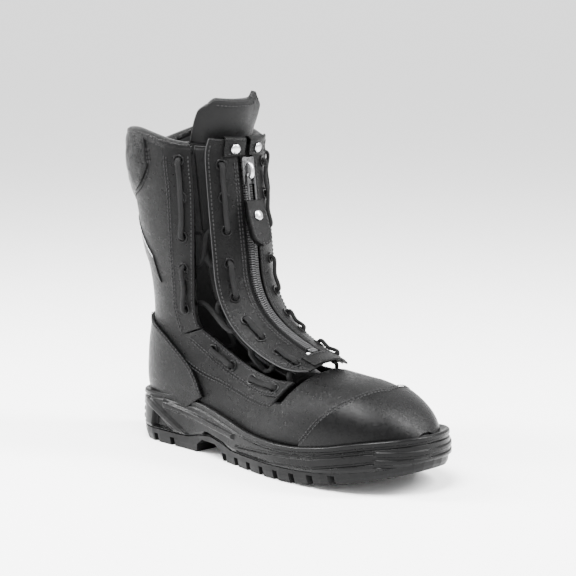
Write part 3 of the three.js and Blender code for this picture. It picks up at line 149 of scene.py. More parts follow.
class Skin:
    """The last's surface. v counts sections from the collar, s is the distance in mm from the front centre
    line, negative on the outer side, and depth is out of the surface."""

    def __init__(self):
        v = np.linspace(0, LAST_SECTION, LAST_SECTION * PER_SECTION + 1)
        turn = np.linspace(0, np.pi, RING // 2 + 1)
        got = section_values(v)
        ahead = np.cos(turn) >= 0
        power = 2 / np.where(ahead, got[:, 8:9], got[:, 7:8])
        reach = np.abs(np.cos(turn)) ** power
        widest = got[:, 6:7]
        share = np.where(ahead, widest + (1 - widest) * reach, widest - widest * reach)
        x = got[:, 0:1] + (got[:, 2:3] - got[:, 0:1]) * share
        z = got[:, 1:2] + (got[:, 3:4] - got[:, 1:2]) * share
        y = got[:, 4:5] * np.abs(np.sin(turn)) ** power
        half = np.stack([x, y, z], axis=-1)
        steps = np.linalg.norm(np.diff(half, axis=1), axis=2)
        run = np.concatenate([np.zeros((len(v), 1)), np.cumsum(steps, axis=1)], axis=1)
        self.girths = run[:, -1]
        even = np.linspace(0, 1, RING // 2 + 1)
        rows = []
        for k in range(len(v)):
            at = run[k] / run[k, -1]
            rows.append(np.stack([np.interp(even, at, half[k, :, c]) for c in range(3)], axis=-1))
        half = np.array(rows)
        mirror = half[:, ::-1] * np.array([1, -1, 1])
        ring = np.concatenate([mirror, half[:, 1:]], axis=1)
        ring[:, :, 1] += got[:, 5:6]
        self.points = ring
        down = np.gradient(ring, axis=0)
        padded = np.concatenate([ring[:, -2:-1], ring, ring[:, 1:2]], axis=1)
        side = padded[:, 2:] - padded[:, :-2]
        normals = np.cross(down, side)
        self.normals = normals / np.maximum(np.linalg.norm(normals, axis=2, keepdims=True), 1e-9)
        self.v = v

    def girth(self, v):
        return np.interp(v, self.v, self.girths)

    def __call__(self, v, s, depth=0.0):
        v, s, depth = np.broadcast_arrays(np.asarray(v, float), s, depth)
        share = (s / self.girth(v) + 1) % 2
        row = np.clip(v, 0, LAST_SECTION) * PER_SECTION
        column = share * (RING // 2)
        i = np.minimum(row.astype(int), len(self.v) - 2)
        j = np.minimum(column.astype(int), RING - 1)
        f, g = (row - i)[..., None], (column - j)[..., None]

        def mixed(table):
            upper = table[i, j] * (1 - g) + table[i, j + 1] * g
            lower = table[i + 1, j] * (1 - g) + table[i + 1, j + 1] * g
            return upper * (1 - f) + lower * f

        return mixed(self.points) + mixed(self.normals) * depth[..., None]


skin = Skin()
girth = skin.girth

# ---------------------------------------------------------------- the zip panel's sheet
STRAIGHT_TOP, STRAIGHT_END, STRAIGHT_STEPS = np.array([104.3, 247.0]), np.array([116.0, 148.0]), 12
PANEL_ROUND = 52.0
BEND = [[121, 133], [130, 120], [143, 109.5], [158, 101.5], [174, 95], [190, 89.5], [203, 86]]


def centripetal(points, per_span=60):
    """A centripetal Catmull-Rom curve through the points, as many closely spaced points."""
    p = np.array(points, float)
    p = np.vstack([2 * p[0] - p[1], p, 2 * p[-1] - p[-2]])
    out = []
    for k in range(1, len(p) - 2):
        gaps = [np.linalg.norm(p[k + n + 1] - p[k + n]) ** 0.5 for n in (-1, 0, 1)]
        a, b, c = gaps
        start = (p[k] - p[k - 1]) / a - (p[k + 1] - p[k - 1]) / (a + b) + (p[k + 1] - p[k]) / b
        end = (p[k + 1] - p[k]) / b - (p[k + 2] - p[k]) / (b + c) + (p[k + 2] - p[k + 1]) / c
        start, end = start * b, end * b
        t = np.linspace(0, 1, per_span, endpoint=False)[:, None]
        body = (2 * t**3 - 3 * t**2 + 1) * p[k] + (t**3 - 2 * t**2 + t) * start
        out.append(body + (3 * t**2 - 2 * t**3) * p[k + 1] + (t**3 - t**2) * end)
    out.append(p[-2:-1])
    return np.vstack(out)


class Sheet:
    """The zip panel's surface. t is the distance in mm down from its top, s across, depth out of it."""

    def __init__(self):
        steps = np.linspace(0, 1, STRAIGHT_STEPS + 1)[:, None]
        straight = STRAIGHT_TOP + (STRAIGHT_END - STRAIGHT_TOP) * steps
        line = centripetal(np.vstack([[[106.4, 257]], straight, BEND]))
        run = np.concatenate([[0], np.cumsum(np.linalg.norm(np.diff(line, axis=0), axis=1))])
        self.length = run[-1]
        self.t = np.arange(0, self.length, 0.5)
        self.line = np.stack([np.interp(self.t, run, line[:, c]) for c in range(2)], axis=-1)
        slope = np.gradient(self.line, axis=0)
        self.slope = slope / np.linalg.norm(slope, axis=1, keepdims=True)

    def __call__(self, t, s, depth=0.0):
        t, s, depth = np.broadcast_arrays(np.asarray(t, float), s, depth)
        inside = np.clip(t, 0, self.t[-1])
        at = np.stack([np.interp(inside, self.t, self.line[:, c]) for c in range(2)], axis=-1)
        down = np.stack([np.interp(inside, self.t, self.slope[:, c]) for c in range(2)], axis=-1)
        down /= np.linalg.norm(down, axis=-1, keepdims=True)
        at = at + down * (t - inside)[..., None]
        out = np.stack([-down[..., 1], down[..., 0]], axis=-1)
        turn = s / PANEL_ROUND
        lift = -PANEL_ROUND + (PANEL_ROUND + depth) * np.cos(turn)
        at = at + out * lift[..., None]
        y = (PANEL_ROUND + depth) * np.sin(turn)
        return np.stack([at[..., 0], y, at[..., 1]], axis=-1)


sheet = Sheet()
PANEL_LENGTH = sheet.length


def axes_at(surface, a, s, depth=0.0):
    """Origin, and unit axes down, to the side and out of a surface at one place."""
    step = 0.02 if surface is skin else 0.5
    origin = surface(a, s, depth)
    out = surface(a, s, depth + 1) - origin
    out /= np.linalg.norm(out)
    down = surface(a + step, s, depth) - surface(a - step, s, depth)
    side = np.cross(out, down)
    side /= np.linalg.norm(side)
    return origin, np.array([np.cross(side, out), side, out])


def through(stops):
    """A smooth curve through (x, y) stops, level beyond its ends."""
    xs, ys = (np.array(c, float) for c in zip(*stops))
    ahead = np.minimum(np.arange(len(xs)) + 1, len(xs) - 1)
    behind = np.maximum(np.arange(len(xs)) - 1, 0)
    slopes = (ys[ahead] - ys[behind]) / (xs[ahead] - xs[behind])

    def curve(x):
        x = np.clip(x, xs[0], xs[-1])
        i = np.clip(np.searchsorted(xs, x, side="right") - 1, 0, len(xs) - 2)
        span = xs[i + 1] - xs[i]
        t = (x - xs[i]) / span
        ease = t * t * (3 - 2 * t)
        rise = span * (slopes[i] * t * (1 - t) ** 2 - slopes[i + 1] * t * t * (1 - t))
        return ys[i] + (ys[i + 1] - ys[i]) * ease + rise

    return curve


# ---------------------------------------------------------------- where the pieces meet, as in part.mjs
COLLAR_V = 0.79


def collar_edge(s):
    share = np.clip((np.abs(s) / girth(COLLAR_V) - 0.27) / 0.73, 0, 1)
    return COLLAR_V - 0.37 * np.sin(np.pi * share) ** 1.5


opening = through([
    (0, 43), (2, 43), (4, 49), (5.2, 58), (5.9, 61), (6.4, 55), (7.2, 49), (10, 39), (11.5, 33)])
facing_width = through([(5, 23), (6.1, 20), (7, 19), (11.5, 17)])
quarter_low = through([
    (6.8, 94), (9.2, 73), (10.6, 64), (12, 58), (13, 52), (14.5, 45), (16, 36), (17, 24), (18, 9)])
feather_share = through([(6.6, 0.97), (7.5, 0.9), (9, 0.84), (11, 0.8), (17, 0.76)])
heel_front = through([(4.95, 130), (5.5, 108), (6.4, 95), (7.25, 91), (8.2, 94), (9.2, 100)])
HEEL_V = 6.8
CORNER_V = 6.0
THROAT_V = 12.0
QUARTER_END = 11.7
EYELET_IN = 10.0
UPPER_ROW = [1.12, 2.1, 3.05, 3.85, 5.15]
LOWER_ROW = [7, 8.4, 9.9, 11.25]
DRAWN_PANEL = 223.0
PANEL_ROW = [(19.5 + 26.6 * k) * PANEL_LENGTH / DRAWN_PANEL for k in range(5)]
PANEL_ROW += [(146 + 20.3 * k) * PANEL_LENGTH / DRAWN_PANEL for k in range(4)]
PANEL_COLUMN = 23.0
panel_edge = through([(0, 33), (20, 35), (150, 35), (195, 33), (PANEL_LENGTH - 12, 29), (PANEL_LENGTH, 21)])
SIDES = {"lateral": -1, "medial": 1}


def facing_back(v):
    return opening(v) + facing_width(v)


def feather_edge(v):
    return girth(v) * feather_share(v)


rim_height = through([
    (0, 41), (30, 43), (62, 44), (95, 42), (130, 36), (160, 31), (205, 30), (240, 34), (275, 41), (305, 45)])


def ground_height(x):
    toe = np.clip((x - 180) / (SOLE_LENGTH - 180), 0, 1)
    heel = np.clip(1 - x / 12, 0, 1)
    return 18 * toe**2 + 3 * heel**2


# ---------------------------------------------------------------- meshes
def make_object(name, points, faces, material, body="boot", smooth=True):
    """A mesh object from points in the drawing space, riding on a CAD body."""
    mesh = bpy.data.meshes.new(name)
    mesh.from_pydata(row_frame(points).tolist(), [], [list(map(int, f)) for f in faces])
    mesh.validate()
    mesh.polygons.foreach_set("use_smooth", [smooth] * len(mesh.polygons))
    obj = bpy.data.objects.new(name, mesh)
    mesh.materials.append(material)
    bpy.context.scene.collection.objects.link(obj)
    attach(obj, body)
    return obj


def grid_faces(rows, columns, base, closed, keep, flip):
    faces = []
    across = columns if closed else columns + 1
    for i in range(rows):
        for j in range(columns):
            if not keep[i, j]:
                continue
            a = base + i * across + j
            b = base + i * across + (j + 1) % across
            quad = (a, a + across, b + across, b)
            faces.append(quad[::-1] if flip else quad)
    return faces


def border_walls(rows, columns, half, closed, keep):
    """The faces that join the outer grid to the inner one round the kept cells."""
    across = columns if closed else columns + 1
    faces = []
    on_border = set()

    def there(i, j):
        if closed:
            j %= columns
        return 0 <= i < rows and 0 <= j < columns and keep[i, j]

    for i in range(rows):
        for j in range(columns):
            if not keep[i, j]:
                continue
            left, right = j, (j + 1) % across
            corners = {
                (i - 1, j): ((i, right), (i, left)),
                (i + 1, j): ((i + 1, left), (i + 1, right)),
                (i, j - 1): ((i, left), (i + 1, left)),
                (i, j + 1): ((i + 1, right), (i, right)),
            }
            for (ni, nj), (p, q) in corners.items():
                if there(ni, nj):
                    continue
                a, b = p[0] * across + p[1], q[0] * across + q[1]
                faces.append((a, a + half, b + half, b))
                on_border.update((a, b))
    return faces, sorted(on_border)


def rounding(points, border, radius):
    """How much of its full height each point has: 0 on the border, 1 from radius inwards."""
    tree = KDTree(len(border))
    for n in border:
        tree.insert(points[n], n)
    tree.balance()
    near = np.array([tree.find(p)[2] for p in points])
    return np.sqrt(1 - (1 - np.clip(near / radius, 0, 1)) ** 2)


def shell(name, surface, v, s, inner, outer, material, body="boot",
          keep=None, closed=False, edge=0.9, side=1):
    """A leather-like piece on a surface, from grids v and s of places and its inner and outer depths."""
    rows, columns = v.shape[0] - 1, v.shape[1] - (0 if closed else 1)
    kept = np.ones((rows, columns), bool) if keep is None else keep
    inner, outer = (np.broadcast_to(d, v.shape).astype(float) for d in (inner, outer))
    walls, border = border_walls(rows, columns, v.size, closed, kept)
    full = surface(v, s, outer).reshape(-1, 3)
    radius = min(edge, float(np.min(outer - inner)) * 0.8)
    share = rounding(full, border, edge).reshape(v.shape)
    raised = surface(v, s, outer - radius * (1 - share)).reshape(-1, 3)
    under = surface(v, s, inner).reshape(-1, 3)
    faces = grid_faces(rows, columns, 0, closed, kept, flip=False)
    faces += grid_faces(rows, columns, v.size, closed, kept, flip=True)
    faces += walls
    if side < 0:
        faces = [f[::-1] for f in faces]
    points, faces = without_loose(np.vstack([raised, under]), faces)
    return make_object(name, points, faces, material, body)


def without_loose(points, faces):
    """The mesh without the points that no face uses."""
    used = np.unique(np.concatenate([np.array(f) for f in faces]))
    order = -np.ones(len(points), int)
    order[used] = np.arange(len(used))
    return points[used], [[order[n] for n in f] for f in faces]


FINE = (0.0, 0.006, 0.015, 0.03)


def graded(count, first=True, last=True):
    """Shares from 0 to 1 with close steps at the ends."""
    inner = np.linspace(0, 1, count + 1)
    shares = set(inner.tolist())
    if first:
        shares.update(FINE)
    if last:
        shares.update(1 - f for f in FINE)
    return np.array(sorted(shares))


def grid(rows, edges, counts, top=None, fade=0.5):
    """Grids of v and s between edge functions of v, with counts[k] columns in band k. top bends row 0."""
    bands = []
    for k, count in enumerate(counts):
        share = graded(count, first=k == 0, last=k == len(counts) - 1)
        low, high = edges[k](rows)[:, None], edges[k + 1](rows)[:, None]
        bands.append(low + (high - low) * (share if k == 0 else share[1:]))
    s = np.concatenate(bands, axis=1)
    v = np.repeat(rows[:, None], s.shape[1], axis=1)
    if top is not None:
        v = v + (top(s) - rows[0]) * np.clip(1 - (v - rows[0]) / fade, 0, 1)
    return v, s


def places(start, end, count):
    return start + (end - start) * graded(count)


def level(value):
    """An edge that stays at one value."""
    return lambda t: value + 0 * t


def kept_cells(v, counts, rows_out):
    """Which cells of a grid stay, when its second band is left out in some rows."""
    first = len(graded(counts[0], last=False)) - 1
    end = first + counts[1] if len(counts) > 2 else v.shape[1] - 1
    keep = np.ones((v.shape[0] - 1, v.shape[1] - 1), bool)
    keep[np.ix_(rows_out, np.arange(first, end))] = False
    return keep


def ring_faces(rings, sides, flipped=False):
    """The faces between successive closed rings of points."""
    faces = []
    for i in range(rings - 1):
        for j in range(sides):
            a, b = i * sides + j, i * sides + (j + 1) % sides
            faces.append((a, a + sides, b + sides, b) if flipped else (a, b, b + sides, a + sides))
    return faces


def end_faces(points, sides):
    """Closes both ends of unflipped rings."""
    last = len(points) - sides
    return [tuple(range(sides - 1, -1, -1)), tuple(range(last, last + sides))]


# ---------------------------------------------------------------- materials
SPECULAR = 0.085


class Nodes:
    """A material's node tree, built one node at a time."""

    def __init__(self, name, colour, roughness, metallic=0.0):
        self.material = bpy.data.materials.new(name)
        self.material.use_nodes = True
        self.tree = self.material.node_tree
        self.shader = self.tree.nodes["Principled BSDF"]
        self.shader.inputs["Base Color"].default_value = (*colour, 1)
        self.shader.inputs["Roughness"].default_value = roughness
        self.shader.inputs["Metallic"].default_value = metallic
        if not metallic:
            self.shader.inputs["Specular IOR Level"].default_value = SPECULAR
        self.place = self.add("ShaderNodeTexCoord").outputs["Object"]
        self.height = None

    def add(self, kind, **values):
        node = self.tree.nodes.new(kind)
        for key, value in values.items():
            setattr(node, key, value)
        return node

    def link(self, out, into):
        self.tree.links.new(out, into)

    def noise(self, scale, detail=3.0, place=None):
        node = self.add("ShaderNodeTexNoise")
        node.inputs["Scale"].default_value = scale
        node.inputs["Detail"].default_value = detail
        self.link(place or self.place, node.inputs["Vector"])
        return node.outputs["Fac"]

    def cells(self, scale, feature="DISTANCE_TO_EDGE"):
        node = self.add("ShaderNodeTexVoronoi", feature=feature)
        node.inputs["Scale"].default_value = scale
        self.link(self.place, node.inputs["Vector"])
        return node.outputs["Distance"]

    def waves(self, scale, axis, place=None):
        node = self.add("ShaderNodeTexWave", wave_type="BANDS", bands_direction=axis)
        node.inputs["Scale"].default_value = scale
        self.link(place or self.place, node.inputs["Vector"])
        return node.outputs["Fac"]

    def ranged(self, value, low, high, to_low, to_high):
        node = self.add("ShaderNodeMapRange")
        for socket, number in zip(("From Min", "From Max", "To Min", "To Max"), (low, high, to_low, to_high)):
            node.inputs[socket].default_value = number
        self.link(value, node.inputs["Value"])
        return node.outputs["Result"]

    def bump(self, value, distance, strength=1.0):
        node = self.add("ShaderNodeBump")
        node.inputs["Distance"].default_value = distance
        node.inputs["Strength"].default_value = strength
        self.link(value, node.inputs["Height"])
        if self.height:
            self.link(self.height, node.inputs["Normal"])
        self.height = node.outputs["Normal"]
        self.link(self.height, self.shader.inputs["Normal"])

    def tint(self, value, dark, light):
        node = self.add("ShaderNodeMix", data_type="RGBA")
        self.link(value, node.inputs["Factor"])
        node.inputs["A"].default_value = (*dark, 1)
        node.inputs["B"].default_value = (*light, 1)
        self.link(node.outputs["Result"], self.shader.inputs["Base Color"])

    def roughen(self, value, low, high):
        self.link(self.ranged(value, 0.3, 0.7, low, high), self.shader.inputs["Roughness"])


def grey(value):
    return (value, value, value * 1.02)


def grained(name, shade, roughness, grain, depth, creases=0.0):
    """Leather: rounded grain cells, with fine noise between, and long soft creases where asked for."""
    m = Nodes(name, grey(shade), roughness)
    if creases:
        m.bump(m.noise(90, 2.0), creases)
    m.bump(m.ranged(m.cells(grain), 0, 0.25, 0, 1), depth)
    m.bump(m.noise(grain * 3, 2.0), depth / 4)
    m.tint(m.noise(40), grey(shade * 0.75), grey(shade * 1.3))
    m.roughen(m.noise(260, 4.0), roughness - 0.08, roughness + 0.1)
    return m.material


def rubber(name, shade, roughness):
    m = Nodes(name, grey(shade), roughness)
    m.bump(m.noise(900, 3.0), 0.00008)
    m.bump(m.noise(60, 2.0), 0.0002)
    m.tint(m.noise(30), grey(shade * 0.8), grey(shade * 1.25))
    m.roughen(m.noise(120), roughness - 0.08, roughness + 0.12)
    return m.material


def metal(name, shade, roughness):
    m = Nodes(name, grey(shade), roughness, metallic=1.0)
    m.bump(m.noise(1500, 3.0), 0.00002)
    m.tint(m.noise(200), grey(shade * 0.85), grey(min(1.0, shade * 1.1)))
    m.roughen(m.noise(500), roughness - 0.08, roughness + 0.12)
    return m.material


def woven(name, shade, roughness, scale, depth):
    """Cloth: crossed threads."""
    m = Nodes(name, grey(shade), roughness)
    m.bump(m.waves(scale, "Z"), depth)
    m.bump(m.waves(scale, "DIAGONAL"), depth)
    m.tint(m.noise(400), grey(shade * 0.6), grey(shade * 1.4))
    m.roughen(m.noise(900), roughness - 0.05, roughness + 0.05)
    return m.material


def braided(name, shade):
    """Cord: two bands of threads that cross, in the cord's own coordinates."""
    m = Nodes(name, grey(shade), 0.6)
    along = m.add("ShaderNodeTexCoord").outputs["UV"]
    for slant in (1, -1):
        mapped = m.add("ShaderNodeMapping")
        mapped.inputs["Rotation"].default_value = (0, 0, slant * math.radians(40))
        m.link(along, mapped.inputs["Vector"])
        m.bump(m.waves(0.32, "X", mapped.outputs["Vector"]), 0.0004, 0.8)
    m.tint(m.noise(800), grey(shade * 0.5), grey(shade * 1.5))
    m.roughen(m.noise(1200), 0.5, 0.7)
    return m.material


def reflective(name):
    """Silver retro-reflective film of small cells."""
    m = Nodes(name, (0.42, 0.43, 0.44), 0.35, metallic=0.35)
    m.bump(m.ranged(m.cells(1100), 0, 0.2, 0, 1), 0.00008)
    m.tint(m.ranged(m.cells(1100), 0, 0.15, 0, 1), grey(0.22), grey(0.5))
    m.roughen(m.noise(300), 0.28, 0.42)
    return m.material


GRAIN = 950  # leather grain cells in a metre
leather = grained("upper_leather", 0.002, 0.32, GRAIN, 0.00011)
scuff_leather = grained("scuff_rubber", 0.003, 0.27, 1500, 0.00004)
pad_leather = grained("collar_leather", 0.003, 0.2, 800, 0.00012, creases=0.0014)
tongue_leather = grained("tongue_leather", 0.006, 0.34, 1300, 0.00008)
raw_edge = grained("raw_edge", 0.035, 0.8, 1500, 0.0001)
sole_rubber = rubber("midsole_rubber", 0.003, 0.28)
tread_rubber = rubber("outsole_rubber", 0.004, 0.42)
steel = metal("hardware_metal", 0.5, 0.26)
gunmetal = metal("puller_metal", 0.09, 0.3)
cap_metal = metal("toe_cap_metal", 0.35, 0.5)
eyelet_plastic = rubber("eyelet_plastic", 0.005, 0.2)
counter_plastic = rubber("counter_plastic", 0.06, 0.5)
teeth_plastic = rubber("zip_teeth", 0.03, 0.18)
knit = woven("lining_textile", 0.012, 0.85, 420, 0.0004)
tape = woven("zip_tape", 0.006, 0.8, 900, 0.0002)
board = woven("insole_board", 0.22, 0.85, 300, 0.0003)
lace_cord = braided("lace_cord", 0.007)
thread = woven("stitching", 0.022, 0.4, 2500, 0.00005)
silver = reflective("reflective")


# ---------------------------------------------------------------- shared builders
def joined_mesh(name, pieces, material, body="boot", smooth=True):
    """One object from many (points, faces) pieces."""
    points, faces, base = [], [], 0
    for got, made in pieces:
        points.append(np.asarray(got))
        faces += [[base + n for n in f] for f in made]
        base += len(got)
    return make_object(name, np.vstack(points), faces, material, body, smooth)


def tube(centres, ups, half_up, half_side, sides=12, caps=True):
    """A tube of elliptical section along centres, with its ups held square to it."""
    centres = np.asarray(centres, float)
    along = np.gradient(centres, axis=0)
    along /= np.linalg.norm(along, axis=1, keepdims=True)
    side = np.cross(ups, along)
    side /= np.linalg.norm(side, axis=1, keepdims=True)
    up = np.cross(along, side)
    turn = np.linspace(0, 2 * np.pi, sides, endpoint=False)
    across = np.cos(turn)[None, :, None] * side[:, None] * half_side
    ring = across + np.sin(turn)[None, :, None] * up[:, None] * half_up
    points = (centres[:, None] + ring).reshape(-1, 3)
    faces = ring_faces(len(centres), sides, flipped=True)
    if caps:
        faces.append(tuple(range(sides)))
        faces.append(tuple(range(len(points) - 1, len(points) - sides - 1, -1)))
    return points, faces


def revolved(profile, origin, axes, sides=24):
    """A closed solid turned from (radius, height) stops about a surface's outward axis."""
    down, side, out = axes
    turn = np.linspace(0, 2 * np.pi, sides, endpoint=False)
    around = np.cos(turn)[:, None] * down + np.sin(turn)[:, None] * side
    rings = [origin + out * height + around * radius for radius, height in profile]
    return np.vstack(rings), ring_faces(len(profile), sides)


def rounded_block(origin, axes, lengths, radius):
    """A block with its edges rounded over, centred on origin."""
    cuts = np.array([-1, -0.75, 0, 0.75, 1])
    points, faces = [], []
    half = np.array(lengths) / 2
    steps = len(cuts)
    for axis in range(3):
        for sign in (-1, 1):
            base = len(points)
            u, w = (axis + 1) % 3, (axis + 2) % 3
            for a in cuts:
                for b in cuts:
                    p = np.zeros(3)
                    p[axis], p[u], p[w] = sign * half[axis], a * half[u], b * half[w]
                    core = np.clip(p, -(half - radius), half - radius)
                    away = p - core
                    size = np.linalg.norm(away)
                    points.append(core + away / max(size, 1e-9) * min(size, radius))
            for i in range(steps - 1):
                for j in range(steps - 1):
                    a = base + i * steps + j
                    quad = (a, a + steps, a + steps + 1, a + 1)
                    faces.append(quad if sign > 0 else quad[::-1])
    return np.array(points) @ np.asarray(axes) + origin, faces


STITCH = 2.4
STITCH_PITCH = 3.3
STITCH_RADIUS = 0.5
STITCH_SIDES = 6
# share along the stitch, thickness and lift, from one end where it dives into the leather to the other
STITCH_PROFILE = [
    (-0.5, 0.35, -0.5), (-0.4, 0.8, 0.0), (-0.2, 1, 0.25), (0.2, 1, 0.25), (0.4, 0.8, 0.0), (0.5, 0.35, -0.5)]


def stitch_chain(surface, a, s, depth, offset=0.0):
    """Stitches along a path on a surface, offset to the path's own left."""
    a, s = np.broadcast_arrays(np.asarray(a, float), np.asarray(s, float))
    points = surface(a, s, depth)
    outs = surface(a, s, depth + 1.0) - points
    along = np.gradient(points, axis=0)
    left = np.cross(outs, along)
    left /= np.maximum(np.linalg.norm(left, axis=1, keepdims=True), 1e-9)
    points = points + left * offset
    run = np.concatenate([[0], np.cumsum(np.linalg.norm(np.diff(points, axis=0), axis=1))])
    middles = np.arange(STITCH_PITCH, run[-1] - STITCH_PITCH / 2, STITCH_PITCH)
    faces = ring_faces(len(STITCH_PROFILE), STITCH_SIDES, flipped=True)
    made = []
    for middle in middles:
        at = np.array([np.interp(middle, run, points[:, c]) for c in range(3)])
        ahead = np.array([np.interp(middle + 0.5, run, points[:, c]) for c in range(3)]) - at
        ahead /= np.linalg.norm(ahead)
        out = np.array([np.interp(middle, run, outs[:, c]) for c in range(3)])
        side = np.cross(out, ahead)
        side /= np.linalg.norm(side)
        rings = []
        for along_share, size, lift in STITCH_PROFILE:
            for k in range(STITCH_SIDES):
                turn = 2 * math.pi * k / STITCH_SIDES
                ring = side * math.cos(turn) + out * math.sin(turn)
                rings.append(at + ahead * along_share * STITCH + (ring * size + out * lift) * STITCH_RADIUS)
        made.append((np.array(rings), faces))
    return made


def seam(surface, a, s, depth, offsets):
    """Rows of stitches side by side."""
    return [stitch for offset in offsets for stitch in stitch_chain(surface, a, s, depth, offset)]


def finished(obj, slot, *nodes):
    """obj stands for the CAD nodes, which are hidden. slot is not used."""
    if nodes:
        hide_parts(*nodes)
    return obj


def cut(obj, cutter):
    """Takes the cutter's volume out of obj."""
    modifier = obj.modifiers.new("cut", "BOOLEAN")
    modifier.operation = "DIFFERENCE"
    modifier.solver = "EXACT"
    modifier.object = cutter
    bpy.context.view_layer.update()
    made = bpy.data.meshes.new_from_object(obj.evaluated_get(bpy.context.evaluated_depsgraph_get()))
    obj.modifiers.clear()
    obj.data = made
    bpy.data.objects.remove(cutter)
    return obj


def mirrored_edges(edges, side):
    """The same edges on one side of the centre line."""
    return [(lambda v, edge=edge: side * edge(v)) for edge in edges]


def wavy(a, b, size, seed):
    """Soft folds: a few crossed sine waves."""
    rng = np.random.default_rng(seed)
    total = np.zeros(np.broadcast(a, b).shape)
    for _ in range(7):
        u, w, phase = rng.normal(0, 1, 2).tolist() + [rng.uniform(0, 6.28)]
        total = total + np.sin((u * a + w * b) / size + phase)
    return total / 7


# ---------------------------------------------------------------- the upper's base leather
QUARTER_LIFT = 0.7
SOLE_SEAT = 4.0
TOE_V = LAST_SECTION - 0.02
SAME = 1e-6


def wing_top(v):
    """The upper edge of the vamp's wings, under the quarters."""
    return quarter_low(v) - 6


def vamp_piece():
    rows = np.concatenate([places(HEEL_V + 0.1, THROAT_V, 26), places(THROAT_V, TOE_V, 50)[1:]])
    edges = [lambda v: -feather_edge(v), lambda v: -wing_top(v), wing_top, feather_edge]
    counts = [20, 30, 20]
    v, s = grid(rows, edges, counts)
    keep = kept_cells(v, counts, v[:-1, 0] < THROAT_V - SAME)
    vamp = shell("vamp_visual", skin, v, s, -LEATHER, 0.0, leather, keep=keep)
    finished(vamp, "upper_leather", "vamp")


def quarter_piece(name, side):
    rows = np.concatenate([places(COLLAR_V, HEEL_V, 40), places(HEEL_V, QUARTER_END, 30)[1:]])
    edges = mirrored_edges([lambda v: facing_back(v) - 4, quarter_low, lambda v: girth(v) - GAP / 2], side)
    counts = [22, 20]
    v, s = grid(rows, edges, counts, top=collar_edge)
    keep = kept_cells(v, counts, v[:-1, 0] >= HEEL_V - SAME)
    outer = QUARTER_LIFT + 0.5 * wavy(v * 12, s, 16, 3)
    made = shell("quarter_visual_" + name, skin, v, s, -LEATHER, outer, leather, keep=keep, side=side)
    finished(made, "upper_leather", "quarter_" + name)


vamp_piece()
for side_name, side_sign in SIDES.items():
    quarter_piece(side_name, side_sign)

# ---------------------------------------------------------------- leather laid over it
OVER = OVER_OUT + 0.2


def overlay(name, v, s, outer, material, slot, nodes, side=1, keep=None, inner=0.0, edge=0.9):
    """A piece laid over the skin, which stands for CAD nodes."""
    made = shell(name, skin, v, s, inner, outer, material, keep=keep, side=side, edge=edge)
    return finished(made, slot, *nodes)


def eyelet_holes(frames):
    """Cylinders through the leather at each eyelet."""
    profile = [(0.01, -12), (EYELET_BORE, -12), (EYELET_BORE, 12), (0.01, 12)]
    sides = 20
    holes = []
    for origin, axes in frames:
        points, faces = revolved(profile, origin, axes, sides)
        holes.append((points, faces + end_faces(points, sides)))
    return joined_mesh("holes", holes, leather, smooth=False)


EYELET_BORE = 2.8
EYELET_WALL = 0.6
FLANGE = EYELET_BORE + EYELET_WALL + 1.4
EYELET_STAND = 0.3
CORNER_GAP = 0.015
FACINGS = {
    "upper": ((COLLAR_V, CORNER_V - CORNER_GAP), UPPER_ROW, collar_edge),
    "lower": ((CORNER_V + CORNER_GAP, 11.75), LOWER_ROW, None),
}


def eyelet_profile(back, front):
    """From the barrel's back, round the rolled flange and back down the outside."""
    turns = np.linspace(0, math.pi / 2, 5)
    roll = [(FLANGE - 0.75 + 0.75 * math.sin(k), front + 0.55 * math.cos(k)) for k in turns]
    outside = EYELET_BORE + EYELET_WALL
    return [(EYELET_BORE, back), (EYELET_BORE, front - 0.3), (EYELET_BORE + 0.35, front + 0.4), *roll,
            (FLANGE, front - 0.4), (outside, front - 0.5), (outside, back)]


def eyelet_row(name, frames, back, front, strip, node):
    """A row's eyelets, with the strip behind the leather that they hold."""
    profile = eyelet_profile(back, front)
    made = joined_mesh(name, [revolved(profile, origin, axes) for origin, axes in frames], eyelet_plastic)
    strip.parent = made
    strip.matrix_parent_inverse = made.matrix_world.inverted()
    finished(made, "eyelet_plastic", node)


def facing_pieces(part, side_name, side):
    span, row, top = FACINGS[part]
    ending = f"{part}_{side_name}"
    frames = [axes_at(skin, v, side * (float(opening(v)) + EYELET_IN)) for v in row]
    v, s = grid(places(*span, 40), mirrored_edges([opening, facing_back], side), [16], top=top)
    facing = overlay("facing_visual_" + ending, v, s, OVER, leather, "upper_leather", ["facing_" + ending],
                     side, inner=-LEATHER)
    cut(facing, eyelet_holes(frames))
    edges = [lambda v: opening(v) + 2, lambda v: opening(v) + 2 * EYELET_IN - 2]
    v, s = grid(places(span[0] + 0.15, span[1] - 0.15, 20), mirrored_edges(edges, side), [6])
    stay = shell("stay_visual_" + ending, skin, v, s, STAY_IN, STAY_IN + STAY, eyelet_plastic, side=side)
    cut(stay, eyelet_holes(frames))
    eyelet_row("eyelets_visual_" + ending, frames, STAY_IN, OVER + EYELET_STAND, stay, "eyelets_" + ending)


for part_name in FACINGS:
    for side_name, side_sign in SIDES.items():
        facing_pieces(part_name, side_name, side_sign)

scuff_start = through([(0, 15.1), (30, 14.75), (60, 13.9), (80, 13.4)])


def sole_edge(v):
    return feather_edge(v) - SOLE_SEAT


def scuff_piece():
    """The scuff cap. Its curved edge's place depends on s, so the grid settles in a few rounds."""
    p, q = np.broadcast_arrays(graded(46)[:, None], graded(64)[None, :])
    start = 13.9 + 0 * p
    for _ in range(3):
        s = (2 * q - 1) * sole_edge(start + (TOE_V - start) * p)
        start = scuff_start(np.abs(s))
    v = start + (TOE_V - start) * p
    s = (2 * q - 1) * sole_edge(v)
    overlay("toe_scuff_visual", v, s, GLUE + SCUFF, scuff_leather, "scuff_rubber", ["toe_scuff_cap"])


scuff_piece()


